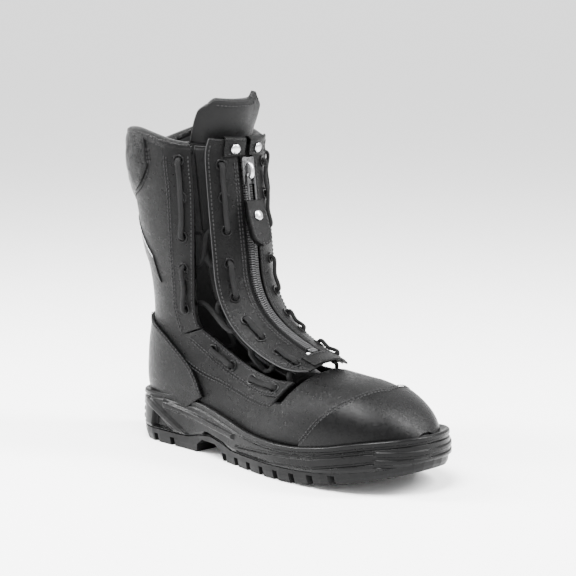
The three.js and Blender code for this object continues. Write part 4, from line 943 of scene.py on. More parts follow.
def toe_plug():
    """Closes the small gap that the skin leaves at the tip of the toe."""
    thick, bulge = 3.0, 2.0
    turn = np.linspace(-1, 1, 61)[:-1]
    rim = skin(np.full(turn.shape, TOE_V), girth(TOE_V) * turn, GLUE)
    centre = rim.mean(axis=0)
    rows = [rim - np.array([thick, 0, 0])]
    for share in np.sin(np.linspace(np.pi / 2, 0.05, 12)):
        rows.append(centre + (rim - centre) * share + [bulge * math.sqrt(1 - share * share), 0, 0])
    points = np.vstack(rows)
    faces = ring_faces(len(rows), len(turn)) + end_faces(points, len(turn))
    finished(make_object("toe_tip_visual", points, faces, scuff_leather), "scuff_rubber", "toe_scuff_cap")


toe_plug()


def heel_piece():
    rows = places(4.95, 9.2, 50)

    def low(v):
        return np.maximum(heel_front(v) + 1, sole_edge(v))

    edges = [heel_front, low, lambda v: 2 * girth(v) - low(v), lambda v: 2 * girth(v) - heel_front(v)]
    counts = [18, 16, 18]
    v, s = grid(rows, edges, counts)
    keep = kept_cells(v, counts, v[:-1, 0] >= HEEL_V - SAME)
    overlay("heel_cover_visual", v, s, SEAT + OVERLAY, leather, "upper_leather", ["heel_cover"], keep=keep)


heel_piece()

STAY_WIDTH = 20.0


def back_stay_piece():
    edges = [lambda v: girth(v) - STAY_WIDTH / 2, lambda v: girth(v) + STAY_WIDTH / 2]
    v, s = grid(places(2.5, 4.9, 30), edges, [10])
    overlay("back_stay_visual", v, s, OVER, leather, "upper_leather", ["back_stay"])


back_stay_piece()

# ---------------------------------------------------------------- padded collar
PAD_HALF, PAD_CROWN = 82.0, 5.0
pad_bottom = through([(0, 2.4), (20, 2.3), (40, 2.05), (66, 1.75), (78, 1.4), (PAD_HALF, 1.2)])


def pad_surface(p, back, depth):
    top = collar_edge(girth(COLLAR_V) - np.abs(back)) + 0.02
    v = top + (pad_bottom(np.abs(back)) - top) * p
    return skin(v, girth(v) - back, depth)


def pad_piece():
    p, q = np.broadcast_arrays(graded(60)[:, None], graded(150)[None, :])
    back = -PAD_HALF + 2 * PAD_HALF * q
    crown = (np.sin(np.pi * p) * np.sin(np.pi * q)) ** 0.45
    folds = wavy(p * 34, back * 1.1, 5.5, 11) + 0.6 * wavy(p * 60, back, 3.5, 5)
    creases = -np.abs(wavy(p * 30, back * 0.7, 7.5, 23)) ** 0.6
    outer = OVER_OUT + crown * (PAD_CROWN + 1.3 * folds + 1.9 * creases)
    pad = shell("collar_pad_visual", pad_surface, p, back, 0.3, np.maximum(outer, 0.9), pad_leather, side=-1)
    finished(pad, "collar_leather", "collar_pad")


pad_piece()
ROLL_UP, ROLL_DOWN = 3.6, 7.0


def round_collar(s):
    """The collar's edge at s, which may run on past the back centre line."""
    return collar_edge(np.where(s > girth(COLLAR_V), s - 2 * girth(COLLAR_V), s))


def roll_piece():
    """The rolled edge over the collar, from the lining's face to the outer leather."""
    back = float(girth(COLLAR_V))
    s = np.linspace(float(facing_back(COLLAR_V)) - 22, back, 150)
    s = np.concatenate([s, 2 * back - s[::-1][1:]])
    v = round_collar(s)
    middle = (LINING_IN + OVER_OUT) / 2
    centre = skin(v, s, middle)
    out = skin(v, s, middle + 1) - centre
    up = centre - skin(v + 0.05, s, middle)
    up /= np.linalg.norm(up, axis=1, keepdims=True)
    turn = np.linspace(0, 2 * np.pi, 28, endpoint=False)
    half = (OVER_OUT - LINING_IN) / 2 + 0.5
    lumps = 0.35 * wavy(s, 0 * s, 6, 8)
    height = np.where(np.sin(turn)[None] > 0, ROLL_UP + lumps[:, None], ROLL_DOWN)
    rise = np.sign(np.sin(turn)) * np.abs(np.sin(turn)) ** 0.8 * height
    ring = np.cos(turn)[None, :, None] * out[:, None] * half + rise[..., None] * up[:, None]
    points = (centre[:, None] + ring).reshape(-1, 3)
    faces = ring_faces(len(s), len(turn)) + end_faces(points, len(turn))
    roll = make_object("collar_roll_visual", points, faces, pad_leather)
    finished(roll, "collar_leather", "shaft_foam_lateral", "shaft_foam_medial")


roll_piece()


# ---------------------------------------------------------------- lining
def lining_front(v):
    return facing_back(v) - 8


def lining_pieces():
    edges = [lining_front, lambda v: 2 * girth(v) - lining_front(v)]
    v, s = grid(places(COLLAR_V, THROAT_V, 50), edges, [80], top=lambda s: round_collar(s) + 0.1)
    shaft = shell("lining_shaft_visual", skin, v, s, LINING_IN, LINING_OUT, knit)
    finished(shaft, "lining_textile")
    rows = places(THROAT_V, 16.8, 24)
    turn = np.linspace(-1, 1, 97)[:-1]
    v = np.repeat(rows[:, None], len(turn), axis=1)
    s = girth(v) * turn[None]
    foot = shell("lining_foot_visual", skin, v, s, LINING_IN, LINING_OUT, knit, closed=True)
    finished(foot, "lining_textile", "lining")


lining_pieces()

# ---------------------------------------------------------------- badges and the fold behind
BADGE_BACK, BADGE_WIDTH, BADGE_SLANT = 40.0, 28.0, 0.035


def slanted(v, s, depth):
    """The skin, with v growing slantwise over the badge."""
    return skin(v + BADGE_SLANT * (girth(v) - BADGE_BACK - np.abs(s)), s, depth)


def badge_pieces(name, side):
    """A slanted plate, and a painted highlight: a bright silver strip along its upper edge, where the light
    catches it.
    """
    edges = [lambda v: girth(v) - BADGE_BACK - BADGE_WIDTH, lambda v: girth(v) - BADGE_BACK]
    v, s = grid(places(2.5, 3.2, 16), mirrored_edges(edges, side), [16])
    badge = shell("side_badge_visual_" + name, slanted, v, s, 0.2, 1.7, scuff_leather, side=side)
    finished(badge, "reflective", "side_badge_" + name)
    # painted highlight: a raised silver strip stands in for the light that catches the badge's upper edge
    edges = [lambda v: girth(v) - BADGE_BACK - BADGE_WIDTH + 1, lambda v: girth(v) - BADGE_BACK - 1]
    v, s = grid(places(2.52, 2.56, 4), mirrored_edges(edges, side), [16])
    line = shell("side_badge_painted_highlight_" + name, slanted, v, s, 1.5, 2.0, silver, side=side, edge=0.3)
    finished(line, "reflective")


for side_name, side_sign in SIDES.items():
    badge_pieces(side_name, side_sign)

REAR_TAB = (3.15, 3.9)
REAR_REACH, REAR_THICK, REAR_LAYER = 9.0, 2.0, 0.7


def fold_line(radius, turns):
    """One face of the strip: straight, round the fold and back, as (reach, across) stops."""
    centre = REAR_REACH - REAR_THICK / 2
    bend = [(centre + radius * math.cos(turn), radius * math.sin(turn)) for turn in turns]
    across = math.copysign(radius, turns[-1])
    return [(0.0, -across), *bend, (0.0, across)]


def rear_fold():
    """A strip folded double, its two ends under the back stay and its fold behind."""
    stand = OVER_OUT + GLUE + REAR_THICK / 2
    rows = np.linspace(*REAR_TAB, 15)
    half = REAR_THICK / 2
    turns = np.linspace(-np.pi / 2, np.pi / 2, 9)
    section = np.array(fold_line(half, turns) + fold_line(half - REAR_LAYER, turns[::-1]))
    centre = skin(rows, girth(rows), stand)
    up = centre[0] - centre[-1]
    up /= np.linalg.norm(up)
    out = -np.cross([0, 1, 0], up)
    out = out if out[0] < 0 else -out
    points = centre[:, None] + section[None, :, 0:1] * out + section[None, :, 1:2] * np.array([0, 1.0, 0])
    faces = ring_faces(len(rows), len(section))
    made = joined_mesh("rear_tab_visual", [(points.reshape(-1, 3), faces)], silver, "rear_tab")
    finished(made, "reflective", "rear_tab")


rear_fold()

# ---------------------------------------------------------------- tongue
TONGUE_FOLD, TONGUE_TOP = 9.0, -30.0
TONGUE_END = PANEL_LENGTH - 16
tongue_face = through([(TONGUE_FOLD, -10.5), (50, -16.4), (TONGUE_END, -16.4)])
tongue_edge = through([
    (TONGUE_TOP, 34), (TONGUE_TOP + 8, 42), (TONGUE_FOLD, 45), (90, 44), (120, 38), (TONGUE_END, 26)])


def tongue_crest(s):
    """How far the stiff top's upper edge drops at each place across: a round corner at one end, a horn near
    the other."""
    corner = 6.0 * np.clip((-s - 28) / 10, 0, 1) ** 2
    horn = -5.0 * np.exp(-(((s - 25) / 3.5) ** 2))
    return corner + horn


def tongue_curl(t, s):
    """How far the top's inner corner curls forward."""
    return 4.0 * np.clip((s - 16) / 20, 0, 1) ** 2 * np.clip(1 - (t - TONGUE_TOP) / 26, 0, 1)


def tongue_body():
    v, s = grid(places(TONGUE_FOLD, TONGUE_END, 60), [lambda t: -tongue_edge(t), tongue_edge], [40])
    face = tongue_face(v) + 0.3 * wavy(v, s, 14, 4)
    body = shell("tongue_visual", sheet, v, s, face - TONGUE, face, tongue_leather, edge=1.6)
    finished(body, "upper_leather", "tongue")


def tongue_top():
    """The stiff, padded top with its line of stitches."""
    rows = places(TONGUE_TOP, TONGUE_FOLD - 1.2, 34)
    v, s = grid(rows, [lambda t: -tongue_edge(t) - 5, lambda t: tongue_edge(t) - 5], [60])
    v = v + tongue_crest(s) * np.clip(1 - (v - TONGUE_TOP) / 30, 0, 1)
    swell = 1.2 * np.sin(np.pi * np.clip((v - TONGUE_TOP) / 39, 0, 1)) ** 0.5 + 0.7 * wavy(v, s, 9, 12)
    face = tongue_face(v) + tongue_curl(v, s)
    top = shell("tongue_top_visual", sheet, v, s, face - TONGUE, face + swell, tongue_leather, "tongue_top",
                edge=2.0)
    finished(top, "upper_leather", "tongue_top")

    def front(t, s, depth):
        return sheet(t, s, tongue_face(t) + 1.1 + tongue_curl(t, s) + depth)

    across = np.linspace(-31, 29, 80)
    chain = stitch_chain(front, TONGUE_TOP + 5 + tongue_crest(across), across, 0.0)
    finished(joined_mesh("tongue_stitches", chain, thread, "tongue_top"), "upper_leather")


tongue_body()
tongue_top()

# ---------------------------------------------------------------- zip panel
ZIP_SLOT = 7.5
STAY_OUT = -GAP
STAY_HALF = 6.5
PANEL_OUT = PANEL + 0.1


def panel_leather(name, side, frames):
    """One half of the panel, and the raw edge that shows round it."""
    v, s = grid(places(0, PANEL_LENGTH - 1, 110), mirrored_edges([level(ZIP_SLOT), panel_edge], side), [26])
    outer = PANEL_OUT + 0.25 * wavy(v, s, 12, 6)
    half = shell("zip_panel_visual_" + name, sheet, v, s, 0.0, outer, leather, side=side)
    finished(cut(half, eyelet_holes(frames)), "upper_leather", "zip_panel_" + name)
    edges = [lambda t: panel_edge(t) - 0.4, lambda t: panel_edge(t) + 0.5]
    v, s = grid(places(0.5, PANEL_LENGTH - 2, 90), mirrored_edges(edges, side), [2])
    bound = shell("panel_edge_" + name, sheet, v, s, 0.3, PANEL_OUT - 0.35, raw_edge, side=side, edge=0.3)
    finished(bound, "upper_leather")


def panel_eyelets(name, side, frames):
    edges = [level(PANEL_COLUMN - STAY_HALF), level(PANEL_COLUMN + STAY_HALF)]
    v, s = grid(places(PANEL_ROW[0] - 5, PANEL_ROW[-1] + 6, 60), mirrored_edges(edges, side), [4])
    stay = shell("panel_stay_" + name, sheet, v, s, STAY_OUT - STAY, STAY_OUT, eyelet_plastic, side=side)
    cut(stay, eyelet_holes(frames))
    eyelet_row("eyelets_panel_visual_" + name, frames, STAY_OUT - STAY, PANEL_OUT + EYELET_STAND, stay,
               "eyelets_panel_" + name)


for side_name, side_sign in SIDES.items():
    panel_frames = [axes_at(sheet, t, side_sign * PANEL_COLUMN) for t in PANEL_ROW]
    panel_leather(side_name, side_sign, panel_frames)
    panel_eyelets(side_name, side_sign, panel_frames)

# ---------------------------------------------------------------- zip
TAB_HEM = 13.5
CHAIN_TOP, CHAIN_END = TAB_HEM + 1, PANEL_LENGTH - 24
CHAIN_WIDTH, CHAIN_THICK, CHAIN_SPLIT = 3.2, 3.0, 1.2
TAPE_OUT, TAPE_IN = -GAP, -GAP - 0.8
TAPE_WIDTH = 11
TOOTH_PITCH, TOOTH_LENGTH = 2.0, 1.35
STOP_LENGTH, STOP_WIDTH = 5, 7.6
PATCH_HALF = 16.0


def zip_half(name, side):
    """A tape with its teeth, which stand half a pitch from those of the other side."""
    edges = [level(CHAIN_SPLIT / 2), level(CHAIN_SPLIT / 2 + TAPE_WIDTH)]
    v, s = grid(places(TAB_HEM - 9, CHAIN_END, 90), mirrored_edges(edges, side), [8])
    strip = shell("zip_tape_visual_" + name, sheet, v, s, TAPE_IN, TAPE_OUT, tape, side=side, edge=0.3)
    finished(strip, "zip_tape", "zip_tape_" + name)
    shift = 0 if side < 0 else TOOTH_PITCH / 2
    lengths = (TOOTH_LENGTH, CHAIN_WIDTH + 0.9, CHAIN_THICK + 0.2)
    teeth = []
    for t in np.arange(CHAIN_TOP + 0.8 + shift, CHAIN_END, TOOTH_PITCH):
        origin, axes = axes_at(sheet, t, side * (CHAIN_WIDTH / 2 + 0.35), CHAIN_THICK / 2 - 0.3)
        teeth.append(rounded_block(origin, axes, lengths, 0.45))
    finished(joined_mesh("zip_teeth_visual_" + name, teeth, teeth_plastic), "zip_teeth", "zip_teeth_" + name)


def zip_stop():
    origin, axes = axes_at(sheet, CHAIN_END + GAP + STOP_LENGTH / 2, 0, CHAIN_THICK / 2)
    stop = rounded_block(origin, axes, (STOP_LENGTH, STOP_WIDTH, CHAIN_THICK), 0.9)
    finished(joined_mesh("zip_stop_visual", [stop], gunmetal), "hardware_metal", "zip_bottom_stop")


def patch_edge(t):
    return np.minimum(PATCH_HALF, panel_edge(t) - 1)


def end_patch():
    rows = places(CHAIN_END + STOP_LENGTH + 2, PANEL_LENGTH - 1.5, 16)
    v, s = grid(rows, [lambda t: -patch_edge(t), patch_edge], [20])
    patch = shell("end_patch_visual", sheet, v, s, 0.5, PANEL + GAP + OVERLAY, leather)
    finished(patch, "upper_leather", "zip_end_patch")


for side_name, side_sign in SIDES.items():
    zip_half(side_name, side_sign)
zip_stop()
end_patch()

# ---------------------------------------------------------------- slider, puller and pull tab
SLIDER_LENGTH, SLIDER_WIDTH, SLIDER_PLATE = 22.0, 13.0, 1.4
PULLER_LENGTH, PULLER_WIDTH = 23.0, 9.0
TAB_LENGTH, TAB_WIDTH, TAB_THICK, TAB_TILT = 36.0, 20.0, 5.0, 0.21
TAB_INSET, RIVET_DOWN, RIVET = 1.6, 11.0, 4.2
BAR, BAR_CLEAR = 1.0, 0.4
BRIDGE_SPAN, BRIDGE_WALL = (4.0, 18.0), 2.2
STRAIGHT_MIDDLE = 60.0
SLIDER_FRONT = CHAIN_THICK + GAP
PLATE_TOP = SLIDER_FRONT + SLIDER_PLATE
middle_origin, slider_axes = axes_at(sheet, STRAIGHT_MIDDLE, 0)
slider_origin = middle_origin - slider_axes[0] * (STRAIGHT_MIDDLE - CHAIN_TOP - 0.5)


def on_slider(down, side, out):
    return slider_origin + np.array([down, side, out]) @ slider_axes


def slider_block(start, end, half, low, high, radius):
    origin = on_slider((start + end) / 2, 0, (low + high) / 2)
    return rounded_block(origin, slider_axes, (end - start, 2 * half, high - low), radius)


def slider_pieces():
    drop = PANEL_ROUND * (1 - math.cos(SLIDER_WIDTH / 2 / PANEL_ROUND))
    back = TAPE_IN - 0.5 - drop
    pieces = [
        slider_block(0, SLIDER_LENGTH, SLIDER_WIDTH / 2, back - SLIDER_PLATE, back, 0.6),
        slider_block(1, 9, 0.3, back - 0.2, SLIDER_FRONT + 0.2, 0.1),
        slider_block(0, SLIDER_LENGTH, SLIDER_WIDTH / 2, SLIDER_FRONT - 0.1, PLATE_TOP, 0.65),
    ]
    for side in (-1, 1):
        origin = on_slider(SLIDER_LENGTH / 2, side * (SLIDER_WIDTH / 2 - 0.6), SLIDER_FRONT - 0.6)
        pieces.append(rounded_block(origin, slider_axes, (SLIDER_LENGTH - 3, 1.2, 2.4), 0.5))
    turn = np.linspace(0, np.pi, 24)
    reach = (BRIDGE_SPAN[1] - BRIDGE_SPAN[0]) / 2 - 0.8
    height = 2 * (BAR + BAR_CLEAR) + 1.6
    middle = sum(BRIDGE_SPAN) / 2
    centres = [on_slider(middle - reach * math.cos(t), 0, PLATE_TOP - 0.4 + height * math.sin(t) ** 0.7)
               for t in turn]
    bridge = tube(centres, np.array([slider_axes[1]] * len(centres)), 1.9, 0.9, sides=14)
    finished(joined_mesh("zip_slider_visual", pieces, gunmetal, "slider"), "hardware_metal", "zip_slider")
    finished(joined_mesh("slider_bridge", [bridge], steel, "slider"), "hardware_metal")


slider_pieces()
puller_origin = on_slider(BRIDGE_SPAN[1] - BRIDGE_WALL - BAR - BAR_CLEAR, 0, PLATE_TOP + BAR_CLEAR + BAR)


def on_puller(down, side, out):
    return puller_origin + np.array([down, side, out]) @ slider_axes


def puller_piece():
    """A wire frame bent round, with its two bars across."""
    wire = 0.95
    half = PULLER_WIDTH / 2 - 0.8
    corner = 1.8
    path = []
    for cx, cy, start in ((PULLER_LENGTH - corner, half - corner, 0), (corner, half - corner, 1),
                          (corner, corner - half, 2), (PULLER_LENGTH - corner, corner - half, 3)):
        for k in np.linspace(0, 1, 7):
            turn = (start + k) * math.pi / 2
            path.append(on_puller(cx + corner * math.cos(turn), cy + corner * math.sin(turn), 0))
    path.append(path[0])
    ups = np.repeat(slider_axes[2][None], len(path), axis=0)
    pieces = [tube(np.array(path), ups, wire, wire, sides=12, caps=False)]
    for down in (0.0, PULLER_LENGTH):
        line = np.array([on_puller(down, side, 0) for side in np.linspace(-half, half, 5)])
        pieces.append(tube(line, np.repeat(slider_axes[2][None], 5, axis=0), BAR, BAR, sides=14))
    finished(joined_mesh("zip_puller_visual", pieces, gunmetal, "puller"), "hardware_metal", "zip_puller")


puller_piece()
tab_down = slider_axes[0] * math.cos(TAB_TILT) + slider_axes[2] * math.sin(TAB_TILT)
tab_out = slider_axes[2] * math.cos(TAB_TILT) - slider_axes[0] * math.sin(TAB_TILT)
tab_origin = on_puller(PULLER_LENGTH, 0, 0)


def tab_surface(down, side, depth):
    """The pull tab's middle plane, drooping a little towards its end."""
    down, side, depth = np.broadcast_arrays(np.asarray(down, float), side, depth)
    droop = 1.6 * np.clip(down / TAB_LENGTH, 0, 1) ** 2
    return (tab_origin + down[..., None] * tab_down + side[..., None] * slider_axes[1]
            + (depth + droop)[..., None] * tab_out)


def dome(origin, axes, height, base):
    """A rivet with a domed head whose underside is at base."""
    turn = np.linspace(0, math.pi / 2, 8)
    rise = [(max(RIVET * math.cos(t), 0.01), base + 0.4 + height * math.sin(t)) for t in turn]
    return revolved([(0.01, base - 1.5), (1.4, base - 1.5), (1.4, base - 0.1), (RIVET * 0.94, base - 0.1),
                     (RIVET, base + 0.15), *rise], origin, axes, 28)


def pull_tab():
    """A doubled piece of leather: folded round the puller's bar at one end, round at the other."""
    wide = TAB_WIDTH / 2
    rows = graded(40)
    down = -TAB_THICK / 2 + rows * (TAB_LENGTH + TAB_THICK / 2)
    square = np.clip((down - (TAB_LENGTH - wide)) / wide, 0, 1)
    half = (wide - 1.5 + 1.5 * np.clip(down / 10, 0, 1)) * np.sqrt(np.maximum(1 - square**2, 0.0004))
    side = graded(16)
    v = np.repeat(down[:, None], len(side), axis=1)
    s = half[:, None] * (2 * side[None] - 1)
    top = TAB_THICK / 2 * np.sqrt(np.clip(1 - np.clip(-v / (TAB_THICK / 2), 0, 1) ** 2, 0.02, 1))
    tab = shell("pull_tab_visual", tab_surface, v, s, -top, top, leather, "pull_tab", edge=0.8)
    finished(tab, "upper_leather", "pull_tab")


def pull_tab_stitches():
    """A line of stitches down one edge, round the end and up the other."""
    half = TAB_WIDTH / 2 - TAB_INSET
    start, end = 4.0, TAB_LENGTH - TAB_WIDTH / 2
    arc = np.linspace(-math.pi / 2, math.pi / 2, 30)
    straight = np.linspace(start, end, 20)
    downs = np.concatenate([straight, end + half * np.cos(arc), np.linspace(end, start, 20)])
    sides = np.concatenate([np.full(20, -half), half * np.sin(arc), np.full(20, half)])
    chain = stitch_chain(tab_surface, downs, sides, TAB_THICK / 2)
    finished(joined_mesh("pull_tab_stitches", chain, thread, "pull_tab"), "upper_leather")


def pull_tab_rivet():
    axes = np.array([tab_down, slider_axes[1], tab_out])
    head = dome(tab_surface(RIVET_DOWN, 0.0, 0.0), axes, 1.6, TAB_THICK / 2 + 0.3)
    rivet = joined_mesh("pull_tab_rivet_visual", [head], steel, "pull_tab")
    finished(rivet, "hardware_metal", "pull_tab_rivet")


pull_tab()
pull_tab_stitches()
pull_tab_rivet()


# ---------------------------------------------------------------- tabs folded over the panel's top
TOP_TAB_NEAR, TOP_TAB_FAR, TOP_TAB_THICK = 2.4, 20.5, 1.8
TOP_TAB_HIGH = PANEL + GLUE + TOP_TAB_THICK
TOP_TAB_LOW = TAPE_IN - GLUE - TOP_TAB_THICK


def fold_over():
    """The fold's section from its front hem over the top to its back hem, as distances down and depths."""
    crown = 2.6
    middle, half = (TOP_TAB_HIGH + TOP_TAB_LOW) / 2, (TOP_TAB_HIGH - TOP_TAB_LOW) / 2
    turn = np.linspace(0, np.pi, 12)
    front, back = np.linspace(TAB_HEM, 0.5, 16)[:-1], np.linspace(0.5, TAB_HEM, 12)[1:]
    t = np.concatenate([front, -crown * np.sin(turn), back])
    d = np.concatenate([np.full(15, TOP_TAB_HIGH), middle + half * np.cos(turn), np.full(11, TOP_TAB_LOW)])
    return t, d


def top_tab(name, side):
    """A leather strip folded over the panel's top edge, with its rivet."""
    middle, half = (TOP_TAB_HIGH + TOP_TAB_LOW) / 2, (TOP_TAB_HIGH - TOP_TAB_LOW) / 2
    t, d = fold_over()
    across = side * (TOP_TAB_NEAR + (TOP_TAB_FAR - TOP_TAB_NEAR) * graded(18))
    t, s = np.broadcast_arrays(t[:, None], across[None])
    d = d[:, None] + 0.35 * wavy(t, s, 5, 2)
    d_in = middle + (d - middle) * (1 - TOP_TAB_THICK / half)
    t_in = np.where(t < 0, t * 0.35, t)
    outer, inner = sheet(t, s, d).reshape(-1, 3), sheet(t_in, s, d_in).reshape(-1, 3)
    rows, columns = t.shape[0] - 1, t.shape[1] - 1
    keep = np.ones((rows, columns), bool)
    faces = grid_faces(rows, columns, 0, False, keep, False)
    faces += grid_faces(rows, columns, len(outer), False, keep, True)
    faces += border_walls(rows, columns, len(outer), False, keep)[0]
    made = make_object("top_tab_visual_" + name, np.vstack([outer, inner]), faces, leather)
    finished(made, "upper_leather", "top_tab_" + name)
    origin, axes = axes_at(sheet, TAB_HEM / 2, side * (TOP_TAB_NEAR + TOP_TAB_FAR) / 2)
    rivet = joined_mesh("top_rivet_visual_" + name, [dome(origin, axes, 1.7, TOP_TAB_HIGH + 0.4)], steel)
    finished(rivet, "hardware_metal", "top_tab_rivet_" + name)


for side_name, side_sign in SIDES.items():
    top_tab(side_name, side_sign)

# ---------------------------------------------------------------- laces
LACE_THICK, LACE_WIDE = 3.0, 4.6
EYELETS = 9
FLANGE_OVER = 0.8 + GAP + LACE_THICK / 2
LACE_SLIP = 0.5  # past the leather's edge
LACE_DIP = 2.0  # behind the leather's edge
LACE_PASS = 4.8  # further still, for the end that crosses behind the other
RUN_SAG = 1.1


def lace_ends(column, k, side):
    """Where the lace is at eyelet k of a column: over its flange, behind its strip (under), and past the
    leather's edge (slip)."""
    if column == "panel":
        row = PANEL_ROW[k]
        at = (row, side * PANEL_COLUMN)
        edge_at = (row, side * (float(panel_edge(row)) + LACE_SLIP))
        surface, front, back = sheet, PANEL, STAY_OUT - STAY
    else:
        row = (UPPER_ROW + LOWER_ROW)[k]
        at = (row, side * (float(opening(row)) + EYELET_IN))
        edge_at = (row, side * (float(opening(row)) - LACE_SLIP))
        surface, front, back = skin, OVER_OUT, STAY_IN
    return {
        "slip": surface(*edge_at, back - FLANGE_OVER),
        "over": surface(*at, front + GAP + FLANGE_OVER),
        "under": surface(*at, back - GAP - LACE_THICK / 2),
        "out": surface(*at, 1.0) - surface(*at, 0.0),
    }


def lace_end(first, side):
    """One end's points and outward directions, from the lowest eyelet pair up, column by column."""
    other = {"panel": "facing", "facing": "panel"}
    points, outs = [], []

    def put(point, out):
        points.append(point)
        outs.append(out)

    start = lace_ends(first, EYELETS - 1, side)
    put(start["slip"], start["out"])
    column = first
    for k in range(EYELETS - 1, 0, -2):
        a, b = lace_ends(column, k, side), lace_ends(column, k - 1, side)
        put(a["under"], a["out"])
        put(a["over"], a["out"])
        put((a["over"] + b["over"]) / 2 - a["out"] * RUN_SAG, a["out"])
        put(b["over"], b["out"])
        if k > 2:
            put(b["under"], b["out"])
            following = lace_ends(other[column], k - 2, side)
            dip = LACE_DIP + (LACE_PASS if first == "panel" else 0)
            put(b["slip"] - b["out"] * dip, b["out"])
            put(following["slip"] - following["out"] * dip, following["out"])
        else:
            top = lace_ends(column, 0, side)
            put((b["over"] + top["over"]) / 2 - top["out"] * RUN_SAG, top["out"])
            put(top["over"], top["out"])
            put(top["under"], top["out"])
        column = other[column]
    return points, outs


def lace_piece(name, side):
    """A flat lace through one side's two columns, with its length and turn as coordinates for its braid."""
    panel, facing = lace_end("panel", side), lace_end("facing", side)
    points = panel[0][::-1] + facing[0]
    outs = panel[1][::-1] + facing[1]
    per_span = 10
    centres = centripetal(points, per_span)
    stops = np.arange(len(points)) * per_span
    at = np.arange(len(centres))
    ups = np.stack([np.interp(at, stops, np.array(outs)[:, c]) for c in range(3)], axis=-1)
    sides = 14
    got, faces = tube(centres, ups, LACE_THICK / 2, LACE_WIDE / 2, sides)
    lace = make_object("lace_visual_" + name, got, faces, lace_cord)
    run = np.concatenate([[0], np.cumsum(np.linalg.norm(np.diff(centres, axis=0), axis=1))])
    layer = lace.data.uv_layers.new(name="along")
    for polygon in lace.data.polygons:
        for loop in polygon.loop_indices:
            n = lace.data.loops[loop].vertex_index
            layer.data[loop].uv = (run[n // sides], n % sides)
    finished(lace, "lace_cord", "lace_" + name)


for side_name, side_sign in SIDES.items():
    lace_piece(side_name, side_sign)

# ---------------------------------------------------------------- seams
ROWS_APART = 2.6  # of a double row of stitches
SEAM_INSET = 2.6


def upper_seams(side):
    """Every line of stitches on one side of the upper."""
    chain = []
    inset = side * SEAM_INSET
    for start, end in ((0.95, CORNER_V - 0.1), (CORNER_V + 0.12, 11.6)):
        v = np.linspace(start, end, 160)
        chain += seam(skin, v, side * opening(v) + inset, OVER, (0.0,))
        chain += seam(skin, v, side * facing_back(v) - inset, OVER, (0.0, side * 2.3))
    v = np.linspace(HEEL_V, QUARTER_END - 0.05, 160)
    chain += seam(skin, v, side * (quarter_low(v) - 2), QUARTER_LIFT + 0.1, (0.0, side * ROWS_APART))
    v = np.linspace(5.02, 9.1, 160)
    chain += seam(skin, v, side * (heel_front(v) + 2.5), SEAT + OVERLAY, (0.0, -side * ROWS_APART))
    v = np.linspace(0.75, 1.25, 60)
    chain += seam(skin, v, side * (girth(v) - PAD_HALF - 2.5), QUARTER_LIFT + 0.2, (0.0, side * ROWS_APART))
    back = np.linspace(PAD_HALF, 8, 160)
    v = pad_bottom(back) + 0.09
    chain += seam(skin, v, side * (girth(v) - back), QUARTER_LIFT + 0.2, (0.0,))
    v = np.linspace(2.6, 4.8, 120)
    chain += seam(skin, v, side * (girth(v) - STAY_WIDTH / 2 + 2.3), OVER, (0.0,))
    s = np.linspace(float(facing_back(1.0)) + 2, float(girth(1.0)) - PAD_HALF - 6, 60)
    chain += seam(skin, collar_edge(s) + 0.13, side * s, QUARTER_LIFT + 0.2, (0.0,))
    return chain


def panel_seams(side):
    """The panel's stitches: beside the zip, along its edge and across its top tab."""
    chain = []
    t = np.linspace(TAB_HEM + 3, PANEL_LENGTH - 34, 240)
    chain += seam(sheet, t, side * (ZIP_SLOT + 1.6), PANEL_OUT, (0.0, side * ROWS_APART))
    t = np.linspace(4, PANEL_LENGTH - 4, 260)
    chain += seam(sheet, t, side * (panel_edge(t) - 2.4), PANEL_OUT, (0.0,))
    t = np.full(40, TAB_HEM - 2)
    chain += seam(sheet, t, side * np.linspace(4, 19, 40), PANEL + GLUE + 1.9, (0.0,))
    return chain


def crosswise_seams():
    """The stitches along the scuff cap's edge and across the end patch."""
    chain = []
    s = np.linspace(-80, 80, 220)
    chain += seam(skin, scuff_start(np.abs(s)) + 0.09, s, GLUE + SCUFF, (0.0, ROWS_APART))
    s = np.linspace(-14, 14, 40)
    chain += seam(sheet, np.full(40, CHAIN_END + STOP_LENGTH + 4.2), s, PANEL + GAP + OVERLAY, (0.0,))
    return chain


for side_name, side_sign in SIDES.items():
    finished(joined_mesh("stitches_" + side_name, upper_seams(side_sign), thread), "upper_leather")
    finished(joined_mesh("panel_stitches_" + side_name, panel_seams(side_sign), thread), "upper_leather")
finished(joined_mesh("cross_stitches", crosswise_seams(), thread), "upper_leather")

# ---------------------------------------------------------------- sole
HEEL_ROUND, TOE_ROUND, ROUNDING = 40.0, 78.0, 2.3
half_widths = {
    -1: through([(0, 38.5), (45, 39), (85, 39.5), (125, 45), (165, 52), (195, 56), (235, 55.5), (305, 52)]),
    1: through([(0, 38.5), (45, 38.5), (85, 38), (125, 41), (165, 48), (205, 55), (235, 56), (305, 54)]),
}
toe_shift = through([(170, 0), (235, 1.5), (305, 8)])
TREAD, PLATE, TOE_THIN = 7.0, 4.0, 5.0
arch_lift = through([(74, 0), (105, 6), (138, 0)])
toe_thin = through([(200, 0), (300, TOE_THIN)])


def midsole_bottom(x):
    return ground_height(x) + TREAD + PLATE + arch_lift(x) - toe_thin(x) + GAP


def sole_outline(share, side):
    x = SOLE_LENGTH * share
    heel = np.clip(1 - x / HEEL_ROUND, 0, 1)
    toe = np.clip(1 - (SOLE_LENGTH - x) / TOE_ROUND, 0, 1)
    rounded = np.maximum(1 - np.maximum(heel, toe) ** ROUNDING, 0) ** (1 / ROUNDING)
    return toe_shift(x) + side * half_widths[side](x) * rounded


RIM_GROOVE = 5.0


def smooth_step(x, low, high):
    t = np.clip((x - low) / (high - low), 0, 1)
    return t * t * (3 - 2 * t)


def band(value, centre, half):
    """1 within half of centre, falling to 0 over a millimetre."""
    return 1 - smooth_step(np.abs(value - centre), half, half + 1.0)


